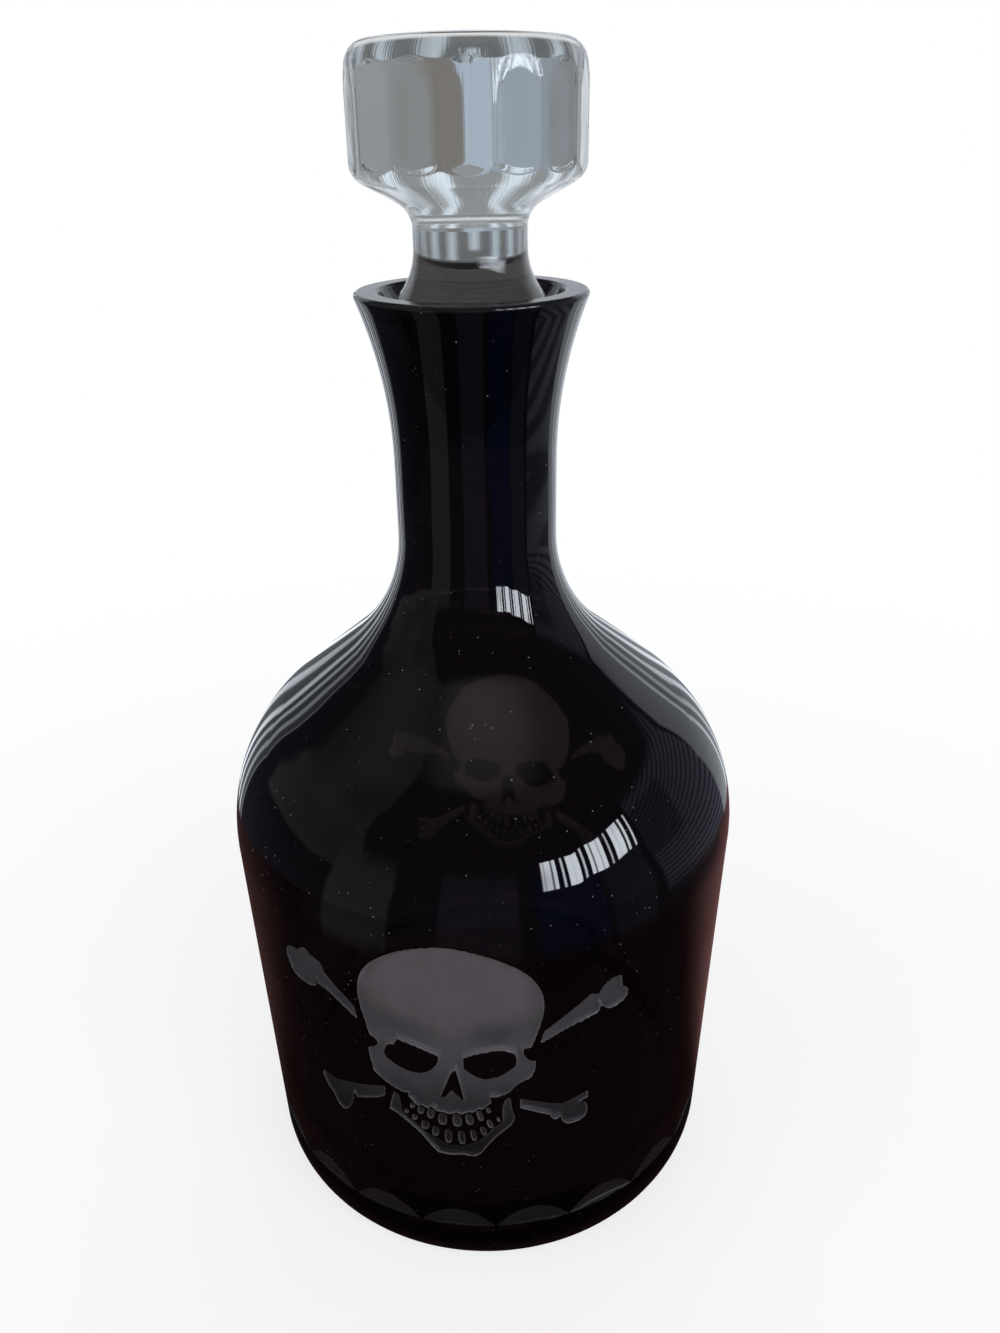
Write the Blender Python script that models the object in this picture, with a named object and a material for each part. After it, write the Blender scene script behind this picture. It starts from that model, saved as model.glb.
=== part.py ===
"""Skull decanter: a dark glass bottle with a sunk skull and crossed bones, and its solid glass stopper.

Units are metres, +Z is up and the skull faces -Y. The origin is the centre of the foot, on the surface that
the decanter stands on. Both pieces are turned round the Z axis. The bottle then gets flat cuts round its heel
and the sunk figure on its front and on its back, and the stopper gets flat cuts round its knob.
"""
import math

import bmesh
import bpy

# Bottle, outside, from the foot up
FOOT_RADIUS = 0.04965
FOOT_RING_WIDTH = 0.0100
KICK_DEPTH = 0.0025
HEEL_HEIGHT = 0.0080
HEEL_RADIUS = 0.05242
BODY_RADIUS = 0.0553
SHOULDER_HEIGHT = 0.0880
SHOULDER_ROUND = 0.0390
SHOULDER_SLOPE = 0.0187
NECK_ROUND = 0.0300
NECK_RADIUS = 0.01605
NECK_LENGTH = 0.0150
LIP_HEIGHT = 0.0320
RIM_RADIUS = 0.0219
RIM_ROUND = 0.0008

# Bottle, inside
WALL = 0.0050
NECK_WALL = 0.0030
BASE_THICKNESS = 0.0120
INNER_HEEL_ROUND = 0.0120
MOUTH_RADIUS = 0.0172
SEAT_DEPTH = 0.0036
SEAT_RADIUS = 0.01575
SEAT_LENGTH = 0.0225
SEAT_TAPER_SHARE = 0.08
SEAT_RELIEF = 0.0010

# Flat cuts that lean in towards the foot and end on a narrow ledge
HEEL_CUTS = 20
LEDGE_HEIGHT = 0.0122
HEEL_CUT_HEIGHT = 0.0056
HEEL_RIDGE = 0.00002

# Skull and crossed bones, sunk into the front of the wall and, the same again, into its back
SKULL_WIDTH = 0.0375
SKULL_HEIGHT = 0.0563
CHIN_HEIGHT = 0.0347
ENGRAVING_DEPTH = 0.0008
OUTLINE_STEP = 0.0026
TOOTH_GAP = 0.0005
GUM_POINT = 0.0006
TOOTH_LEAN = math.radians(70.0)
TOOTH_SIDES = 8
FIGURE_SLICE = math.radians(6.75)

# Stopper, from the seat up
SEAT_CLEARANCE = 0.0003
PLUG_END_CLEARANCE = 0.0010
PLUG_BEVEL = 0.0006
FLARE_ANGLE = math.radians(35.0)
FLARE_ROUND = 0.0120
WAIST_RADIUS = 0.01045
WAIST_LENGTH = 0.0032
UNDERSIDE_HOLLOW = 0.0050
UNDERSIDE_SLOPE = 0.0067
UNDERSIDE_ROUND = 0.0040
KNOB_RADIUS = 0.02115
KNOB_SIDE = 0.0146
KNOB_TOP_ROUND = 0.0044
KNOB_DOME = 0.1770
KNOB_CUTS = 15
KNOB_CUT_DEPTH = 0.00035
STOPPER_TURN = math.radians(8.0)

# How far every cutter runs past the glass, and how finely the glass is turned
OVERRUN = 0.0020
BOTTLE_STEPS = 4 * HEEL_CUTS
STOPPER_STEPS = 4 * KNOB_CUTS
FRONT = -math.pi / 2
BACK = math.pi / 2
MERGE_DISTANCE = 1e-6

# Outline points are (across, up): across is a share of the skull's width from its centre line, and up is a share
# of its height from the chin. The outline turns sharply at a point marked CORNER and runs smoothly elsewhere.
CORNER = True
CROWN_AND_RIGHT_CHEEK_SHARES = (
    (0.005, 1.000), (0.216, 0.968), (0.392, 0.897), (0.486, 0.805), (0.508, 0.716), (0.484, 0.627),
    (0.443, 0.542, CORNER), (0.400, 0.538, CORNER), (0.403, 0.506), (0.432, 0.480),
    (0.468, 0.471, CORNER), (0.462, 0.428), (0.441, 0.391, CORNER), (0.400, 0.380), (0.357, 0.361),
    (0.319, 0.330), (0.270, 0.314), (0.214, 0.313, CORNER), (0.224, 0.282, CORNER))
LEFT_CHEEK_AND_CROWN_SHARES = (
    (-0.246, 0.279, CORNER), (-0.241, 0.298, CORNER), (-0.292, 0.297), (-0.378, 0.325),
    (-0.446, 0.361, CORNER), (-0.459, 0.414), (-0.468, 0.460), (-0.459, 0.476, CORNER), (-0.419, 0.490),
    (-0.403, 0.510), (-0.419, 0.531), (-0.451, 0.538, CORNER), (-0.468, 0.600), (-0.492, 0.680),
    (-0.492, 0.760), (-0.451, 0.840), (-0.359, 0.911), (-0.203, 0.973))
LEFT_EYE_SHARES = (
    (-0.286, 0.556, CORNER), (-0.176, 0.536), (-0.057, 0.506, CORNER), (-0.068, 0.467), (-0.116, 0.425),
    (-0.195, 0.405), (-0.278, 0.419), (-0.362, 0.451, CORNER), (-0.368, 0.481), (-0.343, 0.519, CORNER),
    (-0.308, 0.522, CORNER))
RIGHT_EYE_SHARES = (
    (0.076, 0.504, CORNER), (0.162, 0.528), (0.276, 0.540), (0.349, 0.519), (0.362, 0.481),
    (0.351, 0.453, CORNER), (0.276, 0.416), (0.197, 0.403), (0.141, 0.416), (0.076, 0.455, CORNER))
NOSE_SHARES = (
    (0.032, 0.448, CORNER), (0.054, 0.369), (0.073, 0.290, CORNER), (0.038, 0.318),
    (0.005, 0.343, CORNER), (-0.027, 0.307, CORNER), (-0.062, 0.300, CORNER), (-0.024, 0.369),
    (0.003, 0.421))
JAW_OUTSIDE_SHARES = (
    (-0.295, 0.187, CORNER), (-0.300, 0.236), (-0.305, 0.277, CORNER), (-0.332, 0.284, CORNER),
    (-0.357, 0.227), (-0.370, 0.188, CORNER), (-0.297, 0.160), (-0.197, 0.101), (-0.119, 0.027),
    (-0.086, 0.004, CORNER), (-0.014, 0.002), (0.054, 0.005), (0.108, 0.000), (0.151, 0.012),
    (0.195, 0.057), (0.254, 0.110), (0.335, 0.162, CORNER), (0.351, 0.201), (0.335, 0.242),
    (0.327, 0.304, CORNER), (0.297, 0.290), (0.284, 0.245), (0.286, 0.181, CORNER))

# Teeth are (across, up, width, height), the sizes as shares of the skull's width and height too
UPPER_TOOTH_SHARES = (
    (-0.227, 0.233, 0.027, 0.028), (-0.178, 0.218, 0.038, 0.039), (-0.122, 0.210, 0.041, 0.053),
    (-0.055, 0.188, 0.049, 0.060), (0.027, 0.188, 0.051, 0.064), (0.097, 0.197, 0.041, 0.057),
    (0.157, 0.217, 0.032, 0.053), (0.205, 0.245, 0.022, 0.030))
LOWER_TOOTH_SHARES = (
    (-0.265, 0.197, 0.024, 0.023), (-0.219, 0.174, 0.032, 0.030), (-0.159, 0.144, 0.046, 0.046),
    (-0.101, 0.119, 0.038, 0.052), (-0.027, 0.101, 0.041, 0.073), (0.049, 0.099, 0.038, 0.071),
    (0.116, 0.114, 0.030, 0.059), (0.173, 0.137, 0.030, 0.046), (0.211, 0.174, 0.030, 0.044),
    (0.259, 0.195, 0.016, 0.025))
UPPER_LEFT_BONE_SHARES = (
    (-0.519, 0.595, CORNER), (-0.524, 0.648, CORNER), (-0.714, 0.757, CORNER), (-0.730, 0.790),
    (-0.773, 0.799), (-0.805, 0.803, CORNER), (-0.832, 0.821), (-0.876, 0.812), (-0.908, 0.792),
    (-0.981, 0.780), (-1.027, 0.744), (-1.008, 0.691), (-0.973, 0.655), (-0.892, 0.647), (-0.811, 0.654),
    (-0.786, 0.675, CORNER), (-0.781, 0.714, CORNER), (-0.770, 0.679, CORNER), (-0.724, 0.677),
    (-0.670, 0.663))
UPPER_RIGHT_BONE_SHARES = (
    (0.489, 0.552, CORNER), (0.511, 0.607, CORNER), (0.768, 0.730, CORNER), (0.819, 0.718, CORNER),
    (0.843, 0.748), (0.897, 0.769), (0.954, 0.766, CORNER), (0.959, 0.716, CORNER), (0.997, 0.691),
    (0.997, 0.659), (0.962, 0.638), (0.892, 0.632), (0.854, 0.648), (0.832, 0.668, CORNER),
    (0.824, 0.636, CORNER), (0.649, 0.602))
LOWER_LEFT_BONE_SHARES = (
    (-0.389, 0.297, CORNER), (-0.392, 0.252, CORNER), (-0.438, 0.226), (-0.590, 0.178, CORNER),
    (-0.606, 0.210, CORNER), (-0.622, 0.152), (-0.657, 0.101), (-0.703, 0.073),
    (-0.751, 0.094), (-0.778, 0.133), (-0.816, 0.158), (-0.843, 0.194), (-0.838, 0.222), (-0.808, 0.227),
    (-0.746, 0.217, CORNER), (-0.554, 0.258))
LOWER_RIGHT_BONE_SHARES = (
    (0.381, 0.293, CORNER), (0.381, 0.247, CORNER), (0.551, 0.185, CORNER), (0.568, 0.163),
    (0.592, 0.153), (0.619, 0.167, CORNER), (0.627, 0.137), (0.665, 0.114), (0.735, 0.114),
    (0.776, 0.133), (0.778, 0.176), (0.765, 0.201, CORNER), (0.722, 0.213, CORNER),
    (0.781, 0.222, CORNER), (0.778, 0.258, CORNER), (0.703, 0.243), (0.622, 0.227, CORNER),
    (0.508, 0.258))


def arc(centre, radius, start, end, steps):
    """Points along a circular arc in the plane of radius and height, both ends included."""
    angles = [start + (end - start) * step / steps for step in range(steps + 1)]
    return [(centre[0] + radius * math.cos(angle), centre[1] + radius * math.sin(angle)) for angle in angles]


def crossing_tangent(first, first_radius, second, second_radius):
    """Angle at which the straight line that crosses between two circles leaves the first one's outer side."""
    across = second[0] - first[0]
    up = second[1] - first[1]
    lean = math.acos((first_radius + second_radius) / math.hypot(across, up))
    return math.atan2(up, across) - math.copysign(lean, up)


def height_above(first, first_radius, second_across, second_radius, slope_length):
    """Height of a second circle whose crossing tangent to the first has the wanted straight length."""
    apart = math.hypot(first_radius + second_radius, slope_length)
    return first[1] + math.sqrt(apart ** 2 - (second_across - first[0]) ** 2)


# The bottle's wall leans out from the heel to the shoulder, where it meets the shoulder's curve smoothly
SHOULDER_CENTRE = (BODY_RADIUS - SHOULDER_ROUND, SHOULDER_HEIGHT)
HEEL_POINT = (HEEL_RADIUS, HEEL_HEIGHT)
HEEL_ACROSS = HEEL_POINT[0] - SHOULDER_CENTRE[0]
HEEL_UP = HEEL_POINT[1] - SHOULDER_CENTRE[1]
WALL_ANGLE = math.atan2(HEEL_UP, HEEL_ACROSS) + math.acos(SHOULDER_ROUND / math.hypot(HEEL_ACROSS, HEEL_UP))
NECK_ACROSS = NECK_RADIUS + NECK_ROUND
NECK_FOOT_HEIGHT = height_above(SHOULDER_CENTRE, SHOULDER_ROUND, NECK_ACROSS, NECK_ROUND, SHOULDER_SLOPE)
NECK_CENTRE = (NECK_ACROSS, NECK_FOOT_HEIGHT)
LIP_FOOT_HEIGHT = NECK_FOOT_HEIGHT + NECK_LENGTH
RIM_HEIGHT = LIP_FOOT_HEIGHT + LIP_HEIGHT
SEAT_HEIGHT = RIM_HEIGHT - SEAT_DEPTH
SEAT_FOOT_HEIGHT = SEAT_HEIGHT - SEAT_LENGTH

# The stopper's heights count from the seat's top: its plug hangs down into the seat, and the knob stands above
PLUG_RADIUS = SEAT_RADIUS - SEAT_CLEARANCE
PLUG_LENGTH = SEAT_LENGTH - PLUG_END_CLEARANCE
FLARE_TOP_RADIUS = WAIST_RADIUS + FLARE_ROUND * (1 - math.cos(FLARE_ANGLE))
WAIST_HEIGHT = (PLUG_RADIUS - FLARE_TOP_RADIUS) / math.tan(FLARE_ANGLE) + FLARE_ROUND * math.sin(FLARE_ANGLE)
HOLLOW_CENTRE = (WAIST_RADIUS + UNDERSIDE_HOLLOW, WAIST_HEIGHT + WAIST_LENGTH)
UNDER_ACROSS = KNOB_RADIUS - UNDERSIDE_ROUND
UNDER_CENTRE = (UNDER_ACROSS, height_above(
    HOLLOW_CENTRE, UNDERSIDE_HOLLOW, UNDER_ACROSS, UNDERSIDE_ROUND, UNDERSIDE_SLOPE))
KNOB_TOP_CENTRE = (KNOB_RADIUS - KNOB_TOP_ROUND, UNDER_CENTRE[1] + KNOB_SIDE)
DOME_DROP = math.sqrt((KNOB_DOME - KNOB_TOP_ROUND) ** 2 - KNOB_TOP_CENTRE[0] ** 2)
DOME_CENTRE = (0.0, KNOB_TOP_CENTRE[1] - DOME_DROP)


def wall_radius(height):
    """Radius of the bottle's outside at a height between the heel and the shoulder's curve."""
    wall_top = SHOULDER_HEIGHT + SHOULDER_ROUND * math.sin(WALL_ANGLE)
    if height < wall_top:
        return (SHOULDER_ROUND - (height - SHOULDER_HEIGHT) * math.sin(WALL_ANGLE)) / math.cos(WALL_ANGLE) \
            + SHOULDER_CENTRE[0]
    return SHOULDER_CENTRE[0] + math.sqrt(SHOULDER_ROUND ** 2 - (height - SHOULDER_HEIGHT) ** 2)


def inside_profile():
    """Bottle's inside, from the middle of its floor up to the mouth."""
    shoulder_round = SHOULDER_ROUND - WALL
    neck_round = NECK_ROUND + NECK_WALL
    turn = crossing_tangent(SHOULDER_CENTRE, shoulder_round, NECK_CENTRE, neck_round)
    corner_up = BASE_THICKNESS + INNER_HEEL_ROUND
    corner_across = SHOULDER_CENTRE[0] + (
        shoulder_round - INNER_HEEL_ROUND - (corner_up - SHOULDER_HEIGHT) * math.sin(WALL_ANGLE)
    ) / math.cos(WALL_ANGLE)
    bore = NECK_RADIUS - NECK_WALL
    points = [(0.0, BASE_THICKNESS)]
    points += arc((corner_across, corner_up), INNER_HEEL_ROUND, -math.pi / 2, WALL_ANGLE, 3)
    points += arc(SHOULDER_CENTRE, shoulder_round, WALL_ANGLE, turn, 5)
    points += arc(NECK_CENTRE, neck_round, math.pi + turn, math.pi, 3)
    points += [(bore, SEAT_FOOT_HEIGHT - SEAT_RELIEF)]
    points += [(SEAT_RADIUS - SEAT_TAPER_SHARE * SEAT_LENGTH, SEAT_FOOT_HEIGHT)]
    points += [(SEAT_RADIUS, SEAT_HEIGHT)]
    points += arc((MOUTH_RADIUS + RIM_ROUND, RIM_HEIGHT - RIM_ROUND), RIM_ROUND, math.pi, math.pi / 2, 1)
    return points


def outside_profile():
    """Bottle's outside, from the outer edge of the rim down to the middle of the kicked-up base."""
    turn = crossing_tangent(SHOULDER_CENTRE, SHOULDER_ROUND, NECK_CENTRE, NECK_ROUND)
    rim_centre = (RIM_RADIUS - RIM_ROUND, RIM_HEIGHT - RIM_ROUND)
    rim_across = rim_centre[0] - NECK_RADIUS
    rim_up = rim_centre[1] - LIP_FOOT_HEIGHT
    lip_round = (rim_across ** 2 + rim_up ** 2 - RIM_ROUND ** 2) / (2 * (rim_across + RIM_ROUND))
    lip_centre = (NECK_RADIUS + lip_round, LIP_FOOT_HEIGHT)
    lip_turn = math.atan2(lip_centre[1] - rim_centre[1], lip_centre[0] - rim_centre[0])
    heel_step = HEEL_RADIUS - FOOT_RADIUS
    heel_round = (HEEL_HEIGHT ** 2 + heel_step ** 2) / (2 * heel_step)
    heel_centre = (HEEL_RADIUS - heel_round, HEEL_HEIGHT)
    heel_end = -math.asin(HEEL_HEIGHT / heel_round)
    kick_width = FOOT_RADIUS - FOOT_RING_WIDTH
    kick_round = (kick_width ** 2 + KICK_DEPTH ** 2) / (2 * KICK_DEPTH)
    kick_centre = (0.0, KICK_DEPTH - kick_round)
    kick_start = math.acos(kick_width / kick_round)
    points = arc(rim_centre, RIM_ROUND, math.pi / 2, lip_turn, 2)
    points += arc(lip_centre, lip_round, math.pi + lip_turn, math.pi, 4)[1:]
    points += arc(NECK_CENTRE, NECK_ROUND, math.pi, math.pi + turn, 5)
    points += arc(SHOULDER_CENTRE, SHOULDER_ROUND, turn, WALL_ANGLE, 7)
    points += arc(heel_centre, heel_round, 0.0, heel_end, 3)
    points += arc(kick_centre, kick_round, kick_start, math.pi / 2, 2)[:-1]
    points += [(0.0, KICK_DEPTH)]
    return points


def stopper_profile():
    """Stopper's outside, from the middle of the dome down to the plug's end, with the seat's top at zero."""
    plug_end = PLUG_RADIUS - SEAT_TAPER_SHARE * PLUG_LENGTH
    turn = crossing_tangent(UNDER_CENTRE, UNDERSIDE_ROUND, HOLLOW_CENTRE, UNDERSIDE_HOLLOW)
    dome_turn = math.atan2(DOME_DROP, KNOB_TOP_CENTRE[0])
    points = arc(DOME_CENTRE, KNOB_DOME, math.pi / 2, dome_turn, 2)
    points += arc(KNOB_TOP_CENTRE, KNOB_TOP_ROUND, dome_turn, 0.0, 6)[1:]
    points += arc(UNDER_CENTRE, UNDERSIDE_ROUND, 0.0, turn, 4)
    points += arc(HOLLOW_CENTRE, UNDERSIDE_HOLLOW, math.pi + turn, math.pi, 4)
    points += arc((WAIST_RADIUS + FLARE_ROUND, WAIST_HEIGHT), FLARE_ROUND, math.pi, math.pi + FLARE_ANGLE, 5)
    points += [(PLUG_RADIUS, 0.0)]
    points += [(plug_end, PLUG_BEVEL - PLUG_LENGTH)]
    points += [(plug_end - PLUG_BEVEL, -PLUG_LENGTH)]
    points += [(0.0, -PLUG_LENGTH)]
    return points


def turned(name, profile, steps):
    """Turn a profile, given from the top down its outer side, round Z into a closed body."""
    mesh = bpy.data.meshes.new(name)
    edges = [(index, index + 1) for index in range(len(profile) - 1)]
    mesh.from_pydata([(across, 0.0, up) for across, up in profile], edges, [])
    piece = bpy.data.objects.new(name, mesh)
    bpy.context.scene.collection.objects.link(piece)
    screw = piece.modifiers.new("turn", "SCREW")
    screw.angle = math.tau
    screw.steps = steps
    screw.render_steps = steps
    screw.use_merge_vertices = True
    screw.merge_threshold = MERGE_DISTANCE
    screw.use_smooth_shade = True
    return piece


def facet_ring(name, count, low, high, outer_radius):
    """Ring with flat inner walls, which stand at a reach from the axis given low and high as (reach, height)."""
    form = bmesh.new()
    corner_angles = [FRONT + math.tau * (index + 0.5) / count for index in range(count)]
    corner_reach = 1 / math.cos(math.pi / count)
    rims = ((low[0] * corner_reach, low[1]), (high[0] * corner_reach, high[1]),
            (outer_radius, high[1]), (outer_radius, low[1]))
    loops = [[form.verts.new((radius * math.cos(angle), radius * math.sin(angle), height))
              for angle in corner_angles] for radius, height in rims]
    for loop, following in zip(loops, loops[1:] + loops[:1]):
        for index in range(count):
            after = (index + 1) % count
            form.faces.new((loop[index], loop[after], following[after], following[index]))
    bmesh.ops.recalc_face_normals(form, faces=form.faces)
    return cutter(name, form)


def cutter(name, form):
    """Hidden object that holds a finished cutting form."""
    mesh = bpy.data.meshes.new(name)
    form.to_mesh(mesh)
    form.free()
    tool = bpy.data.objects.new(name, mesh)
    tool.hide_render = True
    tool.display_type = "WIRE"
    bpy.context.scene.collection.objects.link(tool)
    return tool


def cut(piece, tool):
    """Take a cutter's form out of a piece."""
    boolean = piece.modifiers.new(tool.name, "BOOLEAN")
    boolean.operation = "DIFFERENCE"
    boolean.solver = "EXACT"
    boolean.object = tool
    tool.parent = piece


def place(point):
    """Outline point in metres: distance round the wall from the centre line, and height above the foot."""
    return (point[0] * SKULL_WIDTH, CHIN_HEIGHT + point[1] * SKULL_HEIGHT, len(point) > 2)


def smooth_outline(points):
    """Close a smooth curve through placed points, breaking it at the marked corners (Catmull-Rom spans)."""
    outline = []
    count = len(points)
    for index in range(count):
        here = points[index]
        there = points[(index + 1) % count]
        before = here if here[2] else points[index - 1]
        beyond = there if there[2] else points[(index + 2) % count]
        straight = here[2] and there[2]
        length = math.hypot(there[0] - here[0], there[1] - here[1])
        steps = 1 if straight else max(1, round(length / OUTLINE_STEP))
        for step in range(steps):
            t = step / steps
            weights = (-t + 2 * t ** 2 - t ** 3, 2 - 5 * t ** 2 + 3 * t ** 3,
                       t + 4 * t ** 2 - 3 * t ** 3, t ** 3 - t ** 2)
            outline.append(tuple(sum(weight * point[axis] for weight, point in
                                     zip(weights, (before, here, there, beyond))) / 2 for axis in (0, 1)))
    return outline


def tooth_outline(tooth):
    """Oval tooth that leans further out the further it stands from the centre line."""
    across, up = place(tooth[:2])[:2]
    half_width = tooth[2] * SKULL_WIDTH / 2
    half_height = tooth[3] * SKULL_HEIGHT / 2
    lean = TOOTH_LEAN * tooth[0]
    outline = []
    for side in range(TOOTH_SIDES):
        angle = math.tau * side / TOOTH_SIDES
        wide = half_width * math.cos(angle)
        high = half_height * math.sin(angle)
        outline.append((across + wide * math.cos(lean) - high * math.sin(lean),
                        up + wide * math.sin(lean) + high * math.cos(lean)))
    return outline


def beyond_tooth(tooth, end):
    """Point just past a tooth's upper end (1) or lower end (-1), along the tooth's lean."""
    across, up = place(tooth[:2])[:2]
    reach = end * (tooth[3] * SKULL_HEIGHT / 2 + TOOTH_GAP)
    lean = TOOTH_LEAN * tooth[0]
    return (across - reach * math.sin(lean), up + reach * math.cos(lean), False)


def gum_line():
    """Lower edge of the face, right to left: an arch over each upper tooth and a point between two teeth."""
    arches = [beyond_tooth(tooth, 1) for tooth in reversed(UPPER_TOOTH_SHARES)]
    line = [arches[0]]
    for arch, following in zip(arches, arches[1:]):
        line.append(((arch[0] + following[0]) / 2, (arch[1] + following[1]) / 2 - GUM_POINT, True))
        line.append(following)
    return line


def jaw_inside():
    """Upper edge of the jaw, right to left, just under the lower teeth."""
    return [beyond_tooth(tooth, -1) for tooth in reversed(LOWER_TOOTH_SHARES[1:-1])]


def figure_outlines():
    """Every outline of the sunk skull and crossed bones; the eyes and the nose are islands in the face."""
    face = [place(point) for point in CROWN_AND_RIGHT_CHEEK_SHARES] + gum_line()
    face += [place(point) for point in LEFT_CHEEK_AND_CROWN_SHARES]
    jaw = [place(point) for point in JAW_OUTSIDE_SHARES] + jaw_inside()
    outlines = [smooth_outline(face), smooth_outline(jaw)]
    for shares in (LEFT_EYE_SHARES, RIGHT_EYE_SHARES, NOSE_SHARES, UPPER_LEFT_BONE_SHARES,
                   UPPER_RIGHT_BONE_SHARES, LOWER_LEFT_BONE_SHARES, LOWER_RIGHT_BONE_SHARES):
        outlines.append(smooth_outline([place(point) for point in shares]))
    outlines += [tooth_outline(tooth) for tooth in UPPER_TOOTH_SHARES + LOWER_TOOTH_SHARES]
    return outlines


def engraving_cutter(name, middle):
    """Flat figure filled between its outlines, wrapped round the wall's middle angle and given its depth."""
    drawing = bpy.data.curves.new("figure", "CURVE")
    drawing.dimensions = "2D"
    drawing.fill_mode = "BOTH"
    for outline in figure_outlines():
        spline = drawing.splines.new("POLY")
        spline.points.add(len(outline) - 1)
        for spline_point, (across, up) in zip(spline.points, outline):
            spline_point.co = (across, up, 0.0, 1.0)
        spline.use_cyclic_u = True
    sheet = bpy.data.objects.new("figure", drawing)
    form = bmesh.new()
    form.from_mesh(bpy.data.meshes.new_from_object(sheet))
    bpy.data.objects.remove(sheet)
    bmesh.ops.remove_doubles(form, verts=form.verts, dist=MERGE_DISTANCE)
    slice_width = BODY_RADIUS * FIGURE_SLICE
    slices = math.ceil(max(abs(vertex.co.x) for vertex in form.verts) / slice_width)
    for index in range(-slices, slices):
        bmesh.ops.bisect_plane(form, geom=form.verts[:] + form.edges[:] + form.faces[:], dist=MERGE_DISTANCE,
                               plane_co=((index + 0.5) * slice_width, 0.0, 0.0), plane_no=(1.0, 0.0, 0.0))
    floor = form.faces[:]
    raised = bmesh.ops.extrude_face_region(form, geom=floor)["geom"]
    outer = {element for element in raised if isinstance(element, bmesh.types.BMVert)}
    for vertex in form.verts:
        angle = middle + vertex.co.x / BODY_RADIUS
        height = vertex.co.y
        radius = wall_radius(height) + (OVERRUN if vertex in outer else -ENGRAVING_DEPTH)
        vertex.co = (radius * math.cos(angle), radius * math.sin(angle), height)
    bmesh.ops.recalc_face_normals(form, faces=form.faces)
    return cutter(name, form)


def glass(name, colour, roughness, alpha):
    """Glass of one colour."""
    material = bpy.data.materials.new(name)
    material.use_nodes = True
    shader = material.node_tree.nodes["Principled BSDF"]
    shader.inputs["Base Color"].default_value = (*colour, 1.0)
    shader.inputs["Metallic"].default_value = 0.0
    shader.inputs["Roughness"].default_value = roughness
    shader.inputs["Alpha"].default_value = alpha
    material.diffuse_color = (*colour, alpha)
    return material


def decanter_body():
    """Turned bottle with its leaning heel cuts and the sunk figure."""
    body = turned("decanter_body", inside_profile() + outside_profile(), BOTTLE_STEPS)
    flat_reach = math.cos(math.pi / HEEL_CUTS)
    cut_top = LEDGE_HEIGHT + HEEL_CUT_HEIGHT
    lean = (wall_radius(cut_top) - wall_radius(LEDGE_HEIGHT) * flat_reach) / HEEL_CUT_HEIGHT
    low = ((wall_radius(LEDGE_HEIGHT) + HEEL_RIDGE) * flat_reach, LEDGE_HEIGHT)
    high = (low[0] + lean * (HEEL_CUT_HEIGHT + OVERRUN), cut_top + OVERRUN)
    outer_radius = high[0] / flat_reach + OVERRUN
    cut(body, facet_ring("heel_cutter", HEEL_CUTS, low, high, outer_radius))
    cut(body, engraving_cutter("front_figure_cutter", FRONT))
    cut(body, engraving_cutter("back_figure_cutter", BACK))
    body.data.materials.append(glass("black_glass", (0.012, 0.006, 0.008), 0.04, 1.0))
    return body


def stopper():
    """Turned stopper with the flat cuts round its knob, its origin on the slide's axis at the seat's top."""
    piece = turned("stopper", stopper_profile(), STOPPER_STEPS)
    flat_reach = KNOB_RADIUS - KNOB_CUT_DEPTH
    top = DOME_CENTRE[1] + KNOB_DOME + OVERRUN
    outer_radius = KNOB_RADIUS / math.cos(math.pi / KNOB_CUTS) + OVERRUN
    cut(piece, facet_ring("knob_cutter", KNOB_CUTS, (flat_reach, HOLLOW_CENTRE[1]), (flat_reach, top),
                          outer_radius))
    piece.location = (0.0, 0.0, SEAT_HEIGHT)
    piece.rotation_euler = (0.0, 0.0, STOPPER_TURN)
    piece.data.materials.append(glass("clear_glass", (0.90, 0.92, 0.93), 0.02, 0.35))
    return piece


def main():
    """Clear the scene and build the decanter's two pieces."""
    for leftover in list(bpy.data.objects):
        bpy.data.objects.remove(leftover)
    decanter_body()
    stopper()


main()
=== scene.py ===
"""Skull decanter: black glass bottle with a sunk skull and crossed bones, and its cut clear glass stopper.

Units are metres, +Z is up and the skull faces -Y. The origin is the middle of the foot, on the surface that
the decanter stands on. The bottle and the stopper are each one closed surface of glass.
"""

from math import acos, asin, atan2, copysign, cos, hypot, pi, radians, sin, sqrt, tan, tau
from types import SimpleNamespace

import bpy
import numpy as np
from bpy.props import FloatProperty, FloatVectorProperty, IntProperty, PointerProperty
from bpy.types import Operator, Panel, PropertyGroup
from mathutils import Matrix


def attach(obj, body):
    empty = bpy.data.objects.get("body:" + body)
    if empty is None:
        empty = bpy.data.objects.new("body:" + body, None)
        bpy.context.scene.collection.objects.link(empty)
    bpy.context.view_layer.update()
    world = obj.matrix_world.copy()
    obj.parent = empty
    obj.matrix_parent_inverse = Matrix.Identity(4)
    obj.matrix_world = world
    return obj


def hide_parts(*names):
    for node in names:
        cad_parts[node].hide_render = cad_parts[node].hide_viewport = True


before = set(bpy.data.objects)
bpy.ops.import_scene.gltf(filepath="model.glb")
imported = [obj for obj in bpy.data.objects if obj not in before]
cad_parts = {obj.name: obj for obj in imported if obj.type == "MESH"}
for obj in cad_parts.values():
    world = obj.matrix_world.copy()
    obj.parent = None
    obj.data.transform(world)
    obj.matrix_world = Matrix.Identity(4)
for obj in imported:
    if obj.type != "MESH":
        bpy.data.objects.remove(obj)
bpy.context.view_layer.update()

bl_info = {
    "name": "Skull decanter",
    "version": (1, 0, 0),
    "blender": (4, 5, 0),
    "location": "3D View > Sidebar > Decanter",
    "description": "Black glass decanter with a sunk skull and crossed bones, and its clear glass stopper",
    "category": "Add Mesh",
}

FRONT = -pi / 2
CAMERA_ROUND = radians(8.4)

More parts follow.
